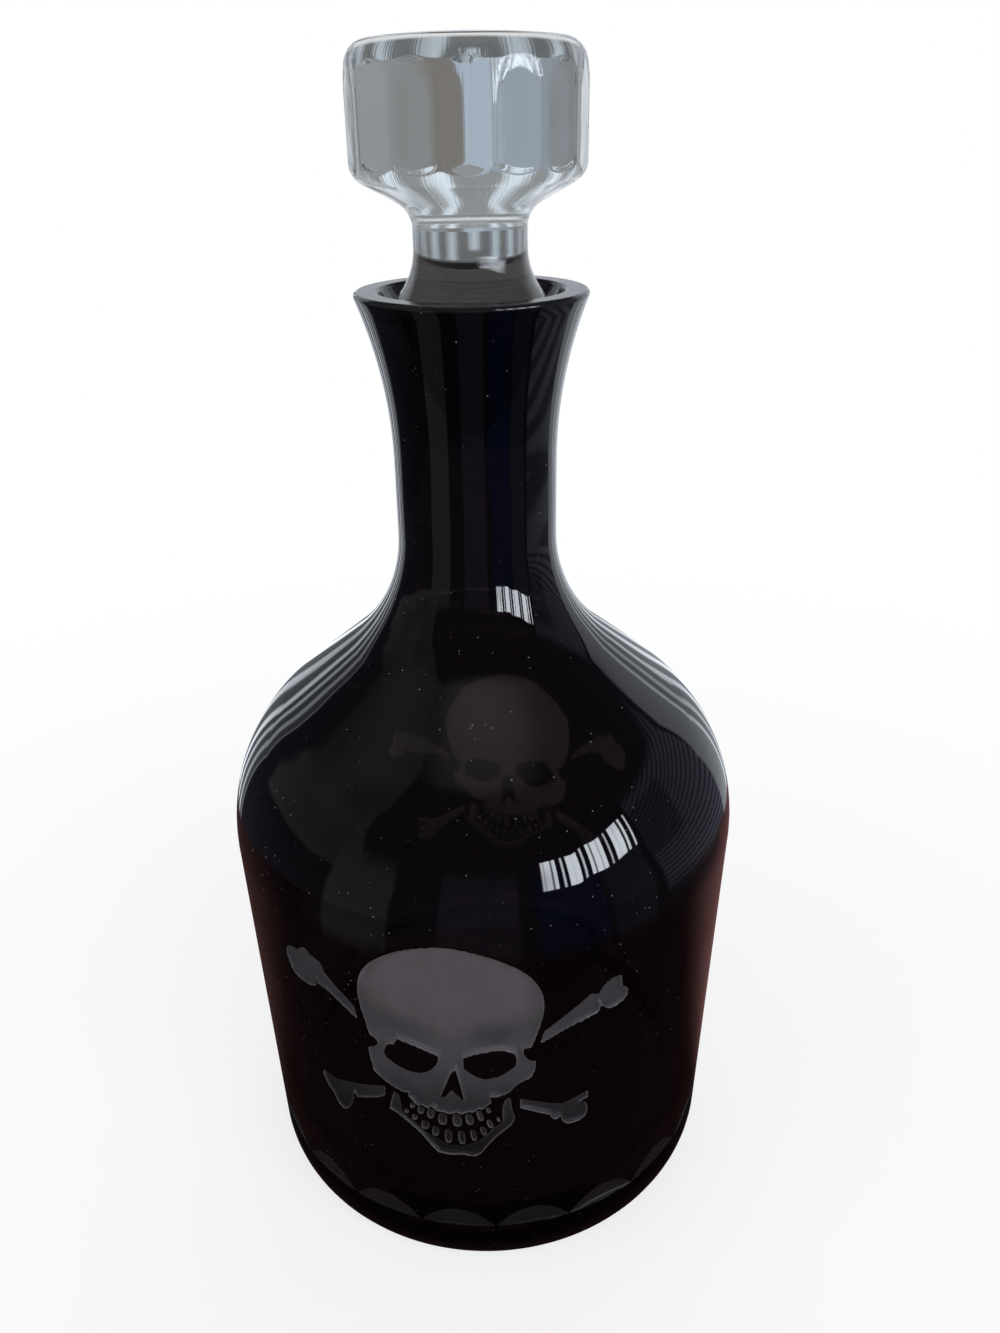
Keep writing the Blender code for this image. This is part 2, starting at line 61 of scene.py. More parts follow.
FAR_FROM_FIGURE = 0.0030  # most that a distance to the figure is told as
BELOW_CHIN = 0.0012  # how far the figure's band goes below the chin
ABOVE_CROWN = 0.0015  # how far it goes above the crown
UNDER_BAND = 0.0008  # where the plain wall starts below the band
JAW_ROW, TOOTH_ROW, FACE_ROW = 0.00045, 0.00030, 0.00046  # heights of the band's rows, from the jaw up
TOOTH_COLUMN, BONE_COLUMN = 0.00030, 0.00048  # widths of its columns at the teeth and beside them
SIDE_COLUMNS = 38  # its columns between the two figures, at either side
UPPER_COLUMNS = 180  # columns round the bottle above the band
SQUARED_OFF = 0.72  # power that squares off the oval of a tooth
EDGE_LINE = 0.00009  # fine rows beside an edge, which keep it sharp
LEAST_CUT = 0.00006  # least height of a heel cut
FOOT_EDGE = 0.0004  # rows beside the foot ring's edges
SEAM_WIDTH = 0.007  # width of the mould's seam, in radians
GROUND_FADE = 0.0003  # height over which the plug turns from clear to ground
FLOOR_HALF = 4.0  # half of the floor's width
FLOOR_DROP = 0.0001  # how far the floor lies under the foot

# Outline points are shares of the skull's width from its centre line and of its height from the chin. The
# outline turns sharply at a point with a third value of 1, and else smoothly.
CROWN_AND_RIGHT_CHEEK_SHARES = (
    (0.005, 1.000), (0.216, 0.968), (0.392, 0.897), (0.486, 0.805), (0.508, 0.716), (0.484, 0.627),
    (0.443, 0.542, 1), (0.400, 0.538, 1), (0.403, 0.506), (0.432, 0.480), (0.468, 0.471, 1), (0.462, 0.428),
    (0.441, 0.391, 1), (0.400, 0.380), (0.357, 0.361), (0.319, 0.330), (0.270, 0.314), (0.214, 0.313, 1),
    (0.224, 0.282, 1))
LEFT_CHEEK_AND_CROWN_SHARES = (
    (-0.246, 0.279, 1), (-0.241, 0.298, 1), (-0.292, 0.297), (-0.378, 0.325), (-0.446, 0.361, 1),
    (-0.459, 0.414), (-0.468, 0.460), (-0.459, 0.476, 1), (-0.419, 0.490), (-0.403, 0.510), (-0.419, 0.531),
    (-0.451, 0.538, 1), (-0.468, 0.600), (-0.492, 0.680), (-0.492, 0.760), (-0.451, 0.840), (-0.359, 0.911),
    (-0.203, 0.973))
LEFT_EYE_SHARES = (
    (-0.286, 0.556, 1), (-0.176, 0.536), (-0.057, 0.506, 1), (-0.068, 0.467), (-0.116, 0.425),
    (-0.195, 0.405), (-0.278, 0.419), (-0.362, 0.451, 1), (-0.368, 0.481), (-0.343, 0.519, 1),
    (-0.308, 0.522, 1))
RIGHT_EYE_SHARES = (
    (0.076, 0.504, 1), (0.162, 0.528), (0.276, 0.540), (0.349, 0.519), (0.362, 0.481), (0.351, 0.453, 1),
    (0.276, 0.416), (0.197, 0.403), (0.141, 0.416), (0.076, 0.455, 1))
NOSE_SHARES = (
    (0.032, 0.448, 1), (0.054, 0.369), (0.073, 0.290, 1), (0.038, 0.318), (0.005, 0.343, 1),
    (-0.027, 0.307, 1), (-0.062, 0.300, 1), (-0.024, 0.369), (0.003, 0.421))
JAW_OUTSIDE_SHARES = (
    (-0.295, 0.187, 1), (-0.300, 0.236), (-0.305, 0.277, 1), (-0.332, 0.284, 1), (-0.357, 0.227),
    (-0.370, 0.188, 1), (-0.297, 0.160), (-0.197, 0.101), (-0.119, 0.027), (-0.086, 0.004, 1),
    (-0.014, 0.002), (0.054, 0.005), (0.108, 0.000), (0.151, 0.012), (0.195, 0.057), (0.254, 0.110),
    (0.335, 0.162, 1), (0.351, 0.201), (0.335, 0.242), (0.327, 0.304, 1), (0.297, 0.290), (0.284, 0.245),
    (0.286, 0.181, 1))
UPPER_LEFT_BONE_SHARES = (
    (-0.519, 0.595, 1), (-0.524, 0.648, 1), (-0.714, 0.757, 1), (-0.730, 0.790), (-0.773, 0.799),
    (-0.805, 0.803, 1), (-0.832, 0.821), (-0.876, 0.812), (-0.908, 0.792), (-0.981, 0.780), (-1.027, 0.744),
    (-1.008, 0.691), (-0.973, 0.655), (-0.892, 0.647), (-0.811, 0.654), (-0.786, 0.675, 1),
    (-0.781, 0.714, 1), (-0.770, 0.679, 1), (-0.724, 0.677), (-0.670, 0.663))
UPPER_RIGHT_BONE_SHARES = (
    (0.489, 0.552, 1), (0.511, 0.607, 1), (0.768, 0.730, 1), (0.819, 0.718, 1), (0.843, 0.748),
    (0.897, 0.769), (0.954, 0.766, 1), (0.959, 0.716, 1), (0.997, 0.691), (0.997, 0.659), (0.962, 0.638),
    (0.892, 0.632), (0.854, 0.648), (0.832, 0.668, 1), (0.824, 0.636, 1), (0.649, 0.602))
LOWER_LEFT_BONE_SHARES = (
    (-0.389, 0.297, 1), (-0.392, 0.252, 1), (-0.438, 0.226), (-0.590, 0.178, 1), (-0.606, 0.210, 1),
    (-0.622, 0.152), (-0.657, 0.101), (-0.703, 0.073), (-0.751, 0.094), (-0.778, 0.133), (-0.816, 0.158),
    (-0.843, 0.194), (-0.838, 0.222), (-0.808, 0.227), (-0.746, 0.217, 1), (-0.554, 0.258))
LOWER_RIGHT_BONE_SHARES = (
    (0.381, 0.293, 1), (0.381, 0.247, 1), (0.551, 0.185, 1), (0.568, 0.163), (0.592, 0.153),
    (0.619, 0.167, 1), (0.627, 0.137), (0.665, 0.114), (0.735, 0.114), (0.776, 0.133), (0.778, 0.176),
    (0.765, 0.201, 1), (0.722, 0.213, 1), (0.781, 0.222, 1), (0.778, 0.258, 1), (0.703, 0.243),
    (0.622, 0.227, 1), (0.508, 0.258))

# The teeth stand between two heights and within a width to either side, and the bones end at a wider one.
TEETH_LOW_SHARE, TEETH_HIGH_SHARE, TEETH_ASIDE_SHARE, BONES_ASIDE_SHARE = 0.05, 0.28, 0.28, 1.048

# Teeth are (across, up, width, height), the sizes as shares of the skull's width and height too.
UPPER_TOOTH_SHARES = (
    (-0.227, 0.233, 0.027, 0.028), (-0.178, 0.218, 0.038, 0.039), (-0.122, 0.210, 0.041, 0.053),
    (-0.055, 0.188, 0.049, 0.060), (0.027, 0.188, 0.051, 0.064), (0.097, 0.197, 0.041, 0.057),
    (0.157, 0.217, 0.032, 0.053), (0.205, 0.245, 0.022, 0.030))
LOWER_TOOTH_SHARES = (
    (-0.265, 0.197, 0.024, 0.023), (-0.219, 0.174, 0.032, 0.030), (-0.159, 0.144, 0.046, 0.046),
    (-0.101, 0.119, 0.038, 0.052), (-0.027, 0.101, 0.041, 0.073), (0.049, 0.099, 0.038, 0.071),
    (0.116, 0.114, 0.030, 0.059), (0.173, 0.137, 0.030, 0.046), (0.211, 0.174, 0.030, 0.044),
    (0.259, 0.195, 0.016, 0.025))


def length(name, description, default):
    """Size in metres that a user can change."""
    return FloatProperty(name=name, description=description, default=default, min=0.0, precision=5,
                         unit="LENGTH")


def turn(name, description, default):
    """Angle that a user can change, with its default in degrees."""
    return FloatProperty(name=name, description=description, default=radians(default), subtype="ANGLE")


def share(name, description, default, highest=1.0):
    """Plain number that a user can change."""
    return FloatProperty(name=name, description=description, default=default, min=0.0, max=highest)


def count(name, description, default):
    """Whole number that a user can change."""
    return IntProperty(name=name, description=description, default=default, min=5, max=60)


def colour(name, description, default):
    """Colour that a user can change."""
    return FloatVectorProperty(name=name, description=description, default=default, size=3, min=0.0,
                               max=1.0, subtype="COLOR")


class BottleSizes(PropertyGroup):
    """Sizes of the bottle, from the foot up and then inside."""

    foot_radius: length("Foot radius", "Outer edge of the ring that the bottle stands on", 0.04965)
    foot_ring: length("Foot ring", "Width of the flat ring that it stands on", 0.0100)
    kick: length("Kick", "Height of the hollow under the base", 0.0025)
    heel_height: length("Heel height", "Height where the rounded heel meets the wall", 0.0080)
    heel_radius: length("Heel radius", "Radius where the rounded heel meets the wall", 0.05242)
    body_radius: length("Body radius", "Widest radius of the bottle", 0.0553)
    shoulder_height: length("Shoulder height", "Height of the shoulder curve's middle", 0.0880)
    shoulder_round: length("Shoulder round", "Radius of the shoulder's curve", 0.0390)
    shoulder_slope: length("Shoulder slope", "Straight length between shoulder and neck", 0.0187)
    neck_round: length("Neck round", "Radius of the hollow curve at the neck's foot", 0.0300)
    neck_radius: length("Neck radius", "Outer radius of the neck at its thinnest", 0.01605)
    neck_length: length("Neck length", "Straight length of the neck", 0.0150)
    lip_height: length("Lip height", "Height of the flare that ends in the rim", 0.0320)
    rim_radius: length("Rim radius", "Outer radius of the rim", 0.0219)
    rim_round: length("Rim round", "Rounding of the rim's two edges", 0.0008)
    wall: length("Wall", "Thickness of the wall", 0.0050)
    neck_wall: length("Neck wall", "Thickness of the neck's wall", 0.0030)
    base: length("Base", "Height of the inner floor", 0.0120)
    inner_heel: length("Inner heel", "Rounding between the inner floor and the wall", 0.0120)
    mouth_radius: length("Mouth radius", "Radius of the opening in the rim", 0.0172)
    seat_depth: length("Seat depth", "Depth of the ground seat's top below the rim", 0.0036)
    seat_radius: length("Seat radius", "Radius of the ground seat at its top", 0.01575)
    seat_length: length("Seat length", "Height of the ground seat", 0.0225)
    seat_taper: share("Seat taper", "Radius that the seat loses for each metre down", 0.08)
    seat_relief: length("Seat relief", "Height of the step under the ground seat", 0.0010)
    heel_cuts: count("Heel cuts", "Number of flat cuts round the heel", 20)
    ledge_height: length("Ledge height", "Height of the ledge that the heel cuts end on", 0.0122)
    cut_height: length("Cut height", "Height of a heel cut in its middle", 0.0056)
    ledge_least: length("Least ledge", "Depth that a heel cut keeps at its corners", 0.00002)


class FigureSizes(PropertyGroup):
    """Sizes of the sunk skull and crossed bones."""

    width: length("Skull width", "Width of the skull", 0.0375)
    height: length("Skull height", "Height of the skull from chin to crown", 0.0563)
    chin: length("Chin height", "Height of the chin above the foot", 0.0347)
    depth: length("Depth", "How deep the figure is sunk into the wall", 0.0008)
    slope: length("Cut slope", "Width of the sloping edge of the cut", 0.00052)
    gap: length("Tooth gap", "Glass left between the gum and a tooth", 0.0005)
    gum_point: length("Gum point", "How far the gum dips between two teeth", 0.0006)
    lean: turn("Tooth lean", "Lean for each skull width from the middle", 70.0)


class StopperSizes(PropertyGroup):
    """Sizes of the stopper, from the seat up."""

    clearance: length("Seat clearance", "Gap between the plug and the seat", 0.0003)
    end_clearance: length("End clearance", "How much shorter the plug is than the seat", 0.0010)
    bevel: length("Plug bevel", "Bevel at the plug's end", 0.0006)
    flare_angle: turn("Flare angle", "Slope of the flare above the plug, from upright", 35.0)
    flare_round: length("Flare round", "Radius of the curve from the flare to the waist", 0.0120)
    waist_radius: length("Waist radius", "Radius of the stopper at its waist", 0.01045)
    waist_length: length("Waist length", "Straight height of the waist", 0.0032)
    hollow: length("Underside hollow", "Radius of the hollow curve under the knob", 0.0050)
    slope: length("Underside slope", "Straight length of the knob's underside", 0.0067)
    under_round: length("Underside round", "Radius of the knob's lower edge", 0.0040)
    knob_radius: length("Knob radius", "Radius of the knob", 0.02115)
    knob_side: length("Knob side", "Height of the knob's side", 0.01496)
    top_round: length("Top round", "Radius of the knob's upper edge", 0.0040)
    ease: length("Side ease", "How far the knob's side draws in at its top", 0.00040)
    ease_height: length("Ease height", "Height over which most of that draws in", 0.0026)
    dome: length("Dome", "Radius of the knob's nearly flat top", 0.1770)
    cuts: count("Knob cuts", "Number of flat cuts round the knob", 15)
    cut_depth: length("Cut depth", "How deep a knob cut goes in its middle", 0.00035)
    softness: length("Cut softness", "How softly a knob cut's edge is polished", 0.00015)
    seam: length("Mould seam", "How far the mould's seam stands out", 0.00005)
    seam_place: turn("Seam place", "Place of the mould's seam, from a cut's middle", -2.0)
    turned: turn("Turned", "How far the stopper is turned in its seat", 8.0)


class GlassColours(PropertyGroup):
    """Colours and finish of the two kinds of glass."""

    coat: colour("Dark glass", "What the dark glass lets through, in and out again", (0.0018, 0.0009, 0.0011))
    inner: colour("Inner glass", "Clear glass inside the dark outer glass", (0.94, 0.95, 0.95))
    etched: colour("Etched floor", "Matt floor of the figure", (0.300, 0.268, 0.300))
    # painted highlight: a lighter line along the figure's cut edge, where the slope would catch light
    painted_edge_highlight: colour("Etched edge", "Freshly cut slope round the figure", (0.42, 0.39, 0.42))
    dust: colour("Dust", "Fine dust on the polished glass", (0.50, 0.49, 0.47))
    clear: colour("Clear glass", "Clear glass of the stopper", (0.955, 0.968, 0.972))
    ground: colour("Ground glass", "Ground plug of the stopper", (0.97, 0.91, 0.85))


class StageLook(PropertyGroup):
    """Floor, backdrop and light."""

    floor: colour("Floor", "Pale floor and backdrop", (0.90, 0.90, 0.90))
    table: colour("Floor in the glass", "Floor as it is mirrored close to the foot", (0.018, 0.0085, 0.0085))
    shade: colour("Shade", "Dark front of the room in the glass", (0.040, 0.040, 0.056))
    violet: colour("Violet band", "Dim upright band in the middle, in the glass", (0.115, 0.105, 0.155))
    blue: colour("Blue band", "Deep blue upright band right of it, in the glass", (0.028, 0.048, 0.140))
    dusk: colour("Dusk band", "Dim upright band at the front right, in the glass", (0.080, 0.090, 0.140))
    wall: colour("Wall", "Dim wall at the left, in the glass", (0.200, 0.196, 0.205))
    ribs: colour("Ribs", "Dim ribbed wall at the right, in the glass", (0.240, 0.250, 0.335))
    panels: colour("Panels", "Slatted light panels at both sides behind", (0.86, 0.92, 1.00))
    behind: colour("Behind", "Room behind, seen through clear glass", (0.235, 0.245, 0.250))
    pane: colour("Pane", "Paler part of the room behind, seen through clear glass", (0.385, 0.450, 0.530))
    bars: colour("Bars", "Pale upright bars behind, seen through clear glass", (0.780, 0.880, 0.970))
    window: share("Window", "Strength of the window at the front right", 13.0, 40.0)
    light: share("Light", "Strength of the even light on matt surfaces", 0.55, 4.0)
    lamp: FloatProperty(name="Lamp", description="Power of each lamp", default=1.6, min=0.0, unit="POWER")


def directions(angle):
    """Points on the circle of radius 1: the cosine and the sine of each angle."""
    return np.stack((np.cos(angle), np.sin(angle)), axis=-1)


def arc(centre, radius, start, end, steps):
    """Circular arc: centre plus radius times the directions of evenly spaced angles, both ends kept."""
    return np.asarray(centre) + radius * directions(np.linspace(start, end, steps + 1))


def straight(start, end, steps):
    """Evenly spaced points between two points, without the two ends."""
    run = np.linspace(0.0, 1.0, steps + 1)[1:-1, None]
    return np.asarray(start) * (1 - run) + np.asarray(end) * run


def joined(*parts):
    """One path of lists of points. A whole number between two is a straight line in so many steps."""
    points = []
    for index, part in enumerate(parts):
        if isinstance(part, int):
            part = straight(parts[index - 1][-1], parts[index + 1][0], part)
        points.append(np.asarray(part, float))
    return np.concatenate(points)


def from_nearest(place, pitch):
    """Signed distance from the nearest of the marks that stand a pitch apart, one of them at zero."""
    return (place + pitch / 2) % pitch - pitch / 2


def columns_round(cuts, half):
    """Angles of the columns round a ring of equal flat cuts, from those of the first half of a cut.

    Each cut has these angles from its middle on, its end, and the same angles mirrored past its end.
    """
    pitch = tau / cuts
    one_cut = np.concatenate((half, [pitch / 2], pitch - half[:0:-1]))
    return (np.arange(cuts)[:, None] * pitch + one_cut).ravel()


def rows(*shares):
    """Shares of a height or of a width, one to a row."""
    return np.array(shares)[:, None]


def crossing_tangent(first, first_radius, second, second_radius):
    """Angle at which the straight line that crosses between two circles leaves the first one's outer side."""
    across = second[0] - first[0]
    up = second[1] - first[1]
    lean = acos((first_radius + second_radius) / hypot(across, up))
    return atan2(up, across) - copysign(lean, up)


def height_above(first, first_radius, second_across, second_radius, slope_length):
    """Height of a second circle whose crossing tangent to the first has the wanted straight length."""
    apart = hypot(first_radius + second_radius, slope_length)
    return first[1] + sqrt(apart ** 2 - (second_across - first[0]) ** 2)


def bottle_places(size):
    """Centres, heights and angles that follow from the bottle's sizes."""
    shoulder = (size.body_radius - size.shoulder_round, size.shoulder_height)
    heel_across = size.heel_radius - shoulder[0]
    heel_up = size.heel_height - shoulder[1]
    lean = atan2(heel_up, heel_across) + acos(size.shoulder_round / hypot(heel_across, heel_up))
    across = size.neck_radius + size.neck_round
    neck_foot = height_above(shoulder, size.shoulder_round, across, size.neck_round, size.shoulder_slope)
    rim = neck_foot + size.neck_length + size.lip_height
    return SimpleNamespace(
        shoulder=shoulder, lean=lean, neck=(across, neck_foot), lip_foot=neck_foot + size.neck_length,
        rim=rim, seat=rim - size.seat_depth, seat_foot=rim - size.seat_depth - size.seat_length,
        turn=crossing_tangent(shoulder, size.shoulder_round, (across, neck_foot), size.neck_round))


def wall_radius(size, place, height):
    """Radius of the bottle's outside: a cone up to the shoulder, and above it the shoulder's circle."""
    cone = (size.shoulder_round - (height - place.shoulder[1]) * sin(place.lean)) / cos(place.lean)
    rise = np.clip(height - place.shoulder[1], 0.0, size.shoulder_round)
    circle = np.sqrt(size.shoulder_round ** 2 - rise ** 2)
    top = place.shoulder[1] + size.shoulder_round * sin(place.lean)
    return place.shoulder[0] + np.where(height < top, cone, circle)


def upper_path(size, place, band_top):
    """Path of the glass from the middle of the inner floor, over the rim and down to the figure's band.

    Between the shoulder's start and the neck each inner point lies under an outer one, along the outside's
    normal, by a thickness that falls evenly to the neck's. The second value is the row where the dark glass
    starts, at the seat's foot.
    """
    corner_up = size.base + size.inner_heel
    corner_across = place.shoulder[0] + (
        size.shoulder_round - size.wall - size.inner_heel - (corner_up - place.shoulder[1]) * sin(place.lean)
    ) / cos(place.lean)
    heel = arc((corner_across, corner_up), size.inner_heel, -pi / 2, place.lean, 8)
    outer = np.concatenate((arc(place.shoulder, size.shoulder_round, place.lean, place.turn, 15),
                            arc(place.neck, size.neck_round, pi + place.turn, pi, 11)))
    normals = directions(np.append(np.linspace(place.lean, place.turn, 16), np.linspace(place.turn, 0.0, 12)))
    run = np.append(0.0, np.cumsum(np.hypot(*np.diff(outer, axis=0).T)))
    under = size.wall + (size.neck_wall - size.wall) * run / run[-1]
    inner = outer - under[:, None] * normals
    inside = joined([(0.0, size.base)], 3, heel, 4, inner[:16], 4, inner[16:],
                    [(size.neck_radius - size.neck_wall, place.seat_foot - size.seat_relief)])[1:]

    edge_up = place.rim - size.rim_round
    rim_across = size.rim_radius - size.rim_round - size.neck_radius
    rim_up = edge_up - place.lip_foot
    lip_round = (rim_across ** 2 + rim_up ** 2 - size.rim_round ** 2) / (2 * (rim_across + size.rim_round))
    lip_turn = atan2(-rim_up, lip_round - rim_across)
    mouth = arc((size.mouth_radius + size.rim_round, edge_up), size.rim_round, pi, pi / 2, 4)
    rim = arc((size.rim_radius - size.rim_round, edge_up), size.rim_round, pi / 2, lip_turn, 6)
    lip = arc((size.neck_radius + lip_round, place.lip_foot), lip_round, pi + lip_turn, pi, 16)[1:]
    neck = arc(place.neck, size.neck_round, pi, pi + place.turn, 16)
    band_angle = asin((band_top - place.shoulder[1]) / size.shoulder_round)
    shoulder = arc(place.shoulder, size.shoulder_round, place.turn, band_angle, 20)
    support = size.rim_round / 4
    seat = [(size.seat_radius - size.seat_taper * size.seat_length, place.seat_foot),
            (size.seat_radius, place.seat), (size.seat_radius + support, place.seat + support)]
    top = [(mouth[-1][0] + support, place.rim), (rim[0][0] - support, place.rim)]
    return np.concatenate((inside, joined(seat, mouth, top, rim, lip, 4, neck, 4, shoulder))), len(inside)


def foot_path(size):
    """Path from the heel's start on the wall, round the heel, across the foot ring and up the kick."""
    step = size.heel_radius - size.foot_radius
    heel_round = (size.heel_height ** 2 + step ** 2) / (2 * step)
    heel_end = -asin(size.heel_height / heel_round)
    heel = arc((size.heel_radius - heel_round, size.heel_height), heel_round, 0.0, heel_end, 7)
    kick_width = size.foot_radius - size.foot_ring
    kick_round = (kick_width ** 2 + size.kick ** 2) / (2 * size.kick)
    kick = arc((0.0, size.kick - kick_round), kick_round, acos(kick_width / kick_round), pi / 2, 8)
    return joined(heel, [(size.foot_radius - FOOT_EDGE, 0.0), (kick_width + FOOT_EDGE, 0.0)], kick[:-1])


def smooth_outline(points, steps=6):
    """Closed outline through points with corner marks: Catmull-Rom spans that start afresh at each corner.

    A point is the sum of its span's ends and their neighbours, weighted by cubics of its share of the span. A
    corner stands in for the neighbour beyond it.
    """
    points = np.asarray(points, float)
    place = points[:, :2]
    corner = points[:, 2:] > 0.5
    following = np.roll(place, -1, axis=0)
    before = np.where(corner, place, np.roll(place, 1, axis=0))
    beyond = np.where(np.roll(corner, -1, axis=0), following, np.roll(place, -2, axis=0))
    t = (np.arange(steps) / steps)[None, :, None]
    spans = ((-t + 2 * t ** 2 - t ** 3) * before[:, None] + (2 - 5 * t ** 2 + 3 * t ** 3) * place[:, None]
             + (t + 4 * t ** 2 - 3 * t ** 3) * following[:, None] + (t ** 3 - t ** 2) * beyond[:, None]) / 2
    return spans.reshape(-1, 2)


def tooth_outline(tooth, size):
    """Rounded tooth, turned by its lean: an oval squared off by a power below 1 of cosine and sine."""
    centre = place_shares(tooth[:2], size)
    oval = directions(np.linspace(0.0, tau, 24, endpoint=False))
    wide, high = (np.array((tooth[2] * size.width / 2, tooth[3] * size.height / 2))
                  * np.sign(oval) * np.abs(oval) ** SQUARED_OFF).T
    cosine, sine = cos(size.lean * tooth[0]), sin(size.lean * tooth[0])
    return np.stack((centre[0] + wide * cosine - high * sine, centre[1] + wide * sine + high * cosine), 1)


def place_shares(point, size):
    """Distance from the centre line, height above the foot and corner mark of an outline point."""
    return point[0] * size.width, size.chin + point[1] * size.height, int(len(point) == 3)


def beyond_tooth(tooth, end, size):
    """Point just past a tooth's upper end (1) or lower end (-1), along the tooth's lean."""
    across, up, _ = place_shares(tooth[:2], size)
    reach = end * (tooth[3] * size.height / 2 + size.gap)
    lean = size.lean * tooth[0]
    return (across - reach * sin(lean), up + reach * cos(lean), 0)


def gum_line(size):
    """Lower edge of the face, right to left: an arch over each upper tooth and a point between two teeth."""
    arches = [beyond_tooth(tooth, 1, size) for tooth in reversed(UPPER_TOOTH_SHARES)]
    line = arches[:1]
    for arch, following in zip(arches, arches[1:]):
        line += [((arch[0] + following[0]) / 2, (arch[1] + following[1]) / 2 - size.gum_point, 1), following]
    return line


def figure_outlines(size):
    """Every outline of the skull and crossed bones; the eyes and the nose are islands in the face."""
    def placed(shares):
        return [place_shares(point, size) for point in shares]

    face = placed(CROWN_AND_RIGHT_CHEEK_SHARES) + gum_line(size) + placed(LEFT_CHEEK_AND_CROWN_SHARES)
    jaw = [beyond_tooth(tooth, -1, size) for tooth in reversed(LOWER_TOOTH_SHARES[1:-1])]
    plain = (JAW_OUTSIDE_SHARES, LEFT_EYE_SHARES, RIGHT_EYE_SHARES, NOSE_SHARES, UPPER_LEFT_BONE_SHARES,
             UPPER_RIGHT_BONE_SHARES, LOWER_LEFT_BONE_SHARES, LOWER_RIGHT_BONE_SHARES)
    rest = [placed(shares) for shares in plain]
    rest[0] += jaw
    return ([smooth_outline(points) for points in [face] + rest]
            + [tooth_outline(tooth, size) for tooth in UPPER_TOOTH_SHARES + LOWER_TOOTH_SHARES])


def depth_into_figure(across, up, outlines):
    """Distance from each point to the nearest outline, above zero inside the figure and below zero outside.

    It is the least distance to the outlines' straight pieces. A point is inside where a line going right from
    it crosses the outlines an odd number of times.
    """
    nearest = np.full(across.shape, FAR_FROM_FIGURE)
    inside = np.zeros(across.shape, bool)
    for outline in outlines:
        low = outline.min(axis=0) - FAR_FROM_FIGURE
        high = outline.max(axis=0) + FAR_FROM_FIGURE
        near = (across > low[0]) & (across < high[0]) & (up > low[1]) & (up < high[1])
        x, y = across[near][:, None], up[near][:, None]
        x0, y0 = outline.T
        x1, y1 = np.roll(outline, -1, axis=0).T
        run_x, run_y = x1 - x0, y1 - y0
        along = np.clip(((x - x0) * run_x + (y - y0) * run_y) / (run_x ** 2 + run_y ** 2), 0.0, 1.0)
        apart = np.hypot(x - x0 - along * run_x, y - y0 - along * run_y).min(axis=1)
        nearest[near] = np.minimum(nearest[near], apart)
        level = (y0 > y) != (y1 > y)
        meets = x0 + (y - y0) * run_x / np.where(run_y == 0.0, 1.0, run_y)
        inside[near] ^= (level & (meets > x)).sum(axis=1) % 2 == 1
    return np.where(inside, nearest, -nearest)


def steps_between(stops, pitches):
    """Rising values from the first stop to the last, about one pitch apart between each two stops."""
    runs = [np.linspace(low, high, max(1, round((high - low) / pitch)), endpoint=False)
            for low, high, pitch in zip(stops, stops[1:], pitches)]
    return np.concatenate(runs + [[stops[-1]]])


def ramp(values):
    """Smooth step from 0 to 1: three times the square less twice the cube of the clipped values."""
    share_of_way = np.clip(values, 0.0, 1.0)
    return share_of_way ** 2 * (3 - 2 * share_of_way)


def block(angles, radii, heights, **readings):
    """Rings of points, one row to a ring, with what a material reads at each point."""
    shape = np.broadcast(angles[None, :], radii, heights).shape
    readings = {name: np.broadcast_to(value, shape) for name, value in readings.items()}
    return SimpleNamespace(angles=angles, radii=np.broadcast_to(radii, shape),
                           heights=np.broadcast_to(heights, shape), readings=readings)


def figure_band(bottle, place, figure, low, high):
    """Band of the wall that holds both figures, on columns set close at the teeth and wider elsewhere.

    A point's radius is the wall's radius less the figure's depth times a smooth step of its distance into the
    figure over the slope of the cut.
    """
    teeth_low = figure.chin + TEETH_LOW_SHARE * figure.height
    teeth_high = figure.chin + TEETH_HIGH_SHARE * figure.height
    heights = steps_between((low, teeth_low, teeth_high, high), (JAW_ROW, TOOTH_ROW, FACE_ROW))[::-1]
    half = steps_between((0.0, TEETH_ASIDE_SHARE * figure.width, BONES_ASIDE_SHARE * figure.width),
                         (TOOTH_COLUMN, BONE_COLUMN))
    across = np.append(-half[:0:-1], half)
    distance = depth_into_figure(*np.meshgrid(across, heights), figure_outlines(figure))
    heights = heights[:, None]
    turned = across / bottle.body_radius
    side = np.linspace(turned[-1], pi - turned[-1], SIDE_COLUMNS + 2)[1:-1]
    blank = np.full((len(heights), len(side)), -FAR_FROM_FIGURE)
    middle = len(half) - 1
    angles = np.concatenate((turned[middle:], side, pi + turned, tau - side[::-1], tau + turned[:middle]))
    etched = np.concatenate((distance[:, middle:], blank, distance, blank, distance[:, :middle]), axis=1)
    radii = wall_radius(bottle, place, heights) - figure.depth * ramp(etched / figure.slope)
    front_across = from_nearest(angles, pi) * bottle.body_radius
    # painted shade of the figure's floor: darker towards the jaw, over the eyes and at the sides
    shade = painted_figure_shade(front_across / figure.width, (heights - figure.chin) / figure.height)
    return block(angles, radii, heights, etched=etched, coat=1.0, shade=shade, satin=0.0)


def painted_figure_shade(across, up):
    """Painted shade: how light the figure's floor is made, from shares of the skull's width and height.

    It rises from jaw to crown as light from above would fall. It falls off in a soft oval of painted shadow
    over each eye, where the brow's relief would shade, and in painted shade towards the sides.
    """
    aside = np.abs(across)
    side = ramp((aside - 0.36) / 0.30)
    rise = 0.06 + 0.14 * side + 0.88 * ramp((up - 0.02) / 0.70)
    brow = np.exp(-((aside - 0.27) / 0.18) ** 2 - ((up - 0.605 + 0.10 * (0.27 - aside)) / 0.055) ** 2)
    return rise * (1 - 0.40 * brow) * (1 - 0.50 * side)


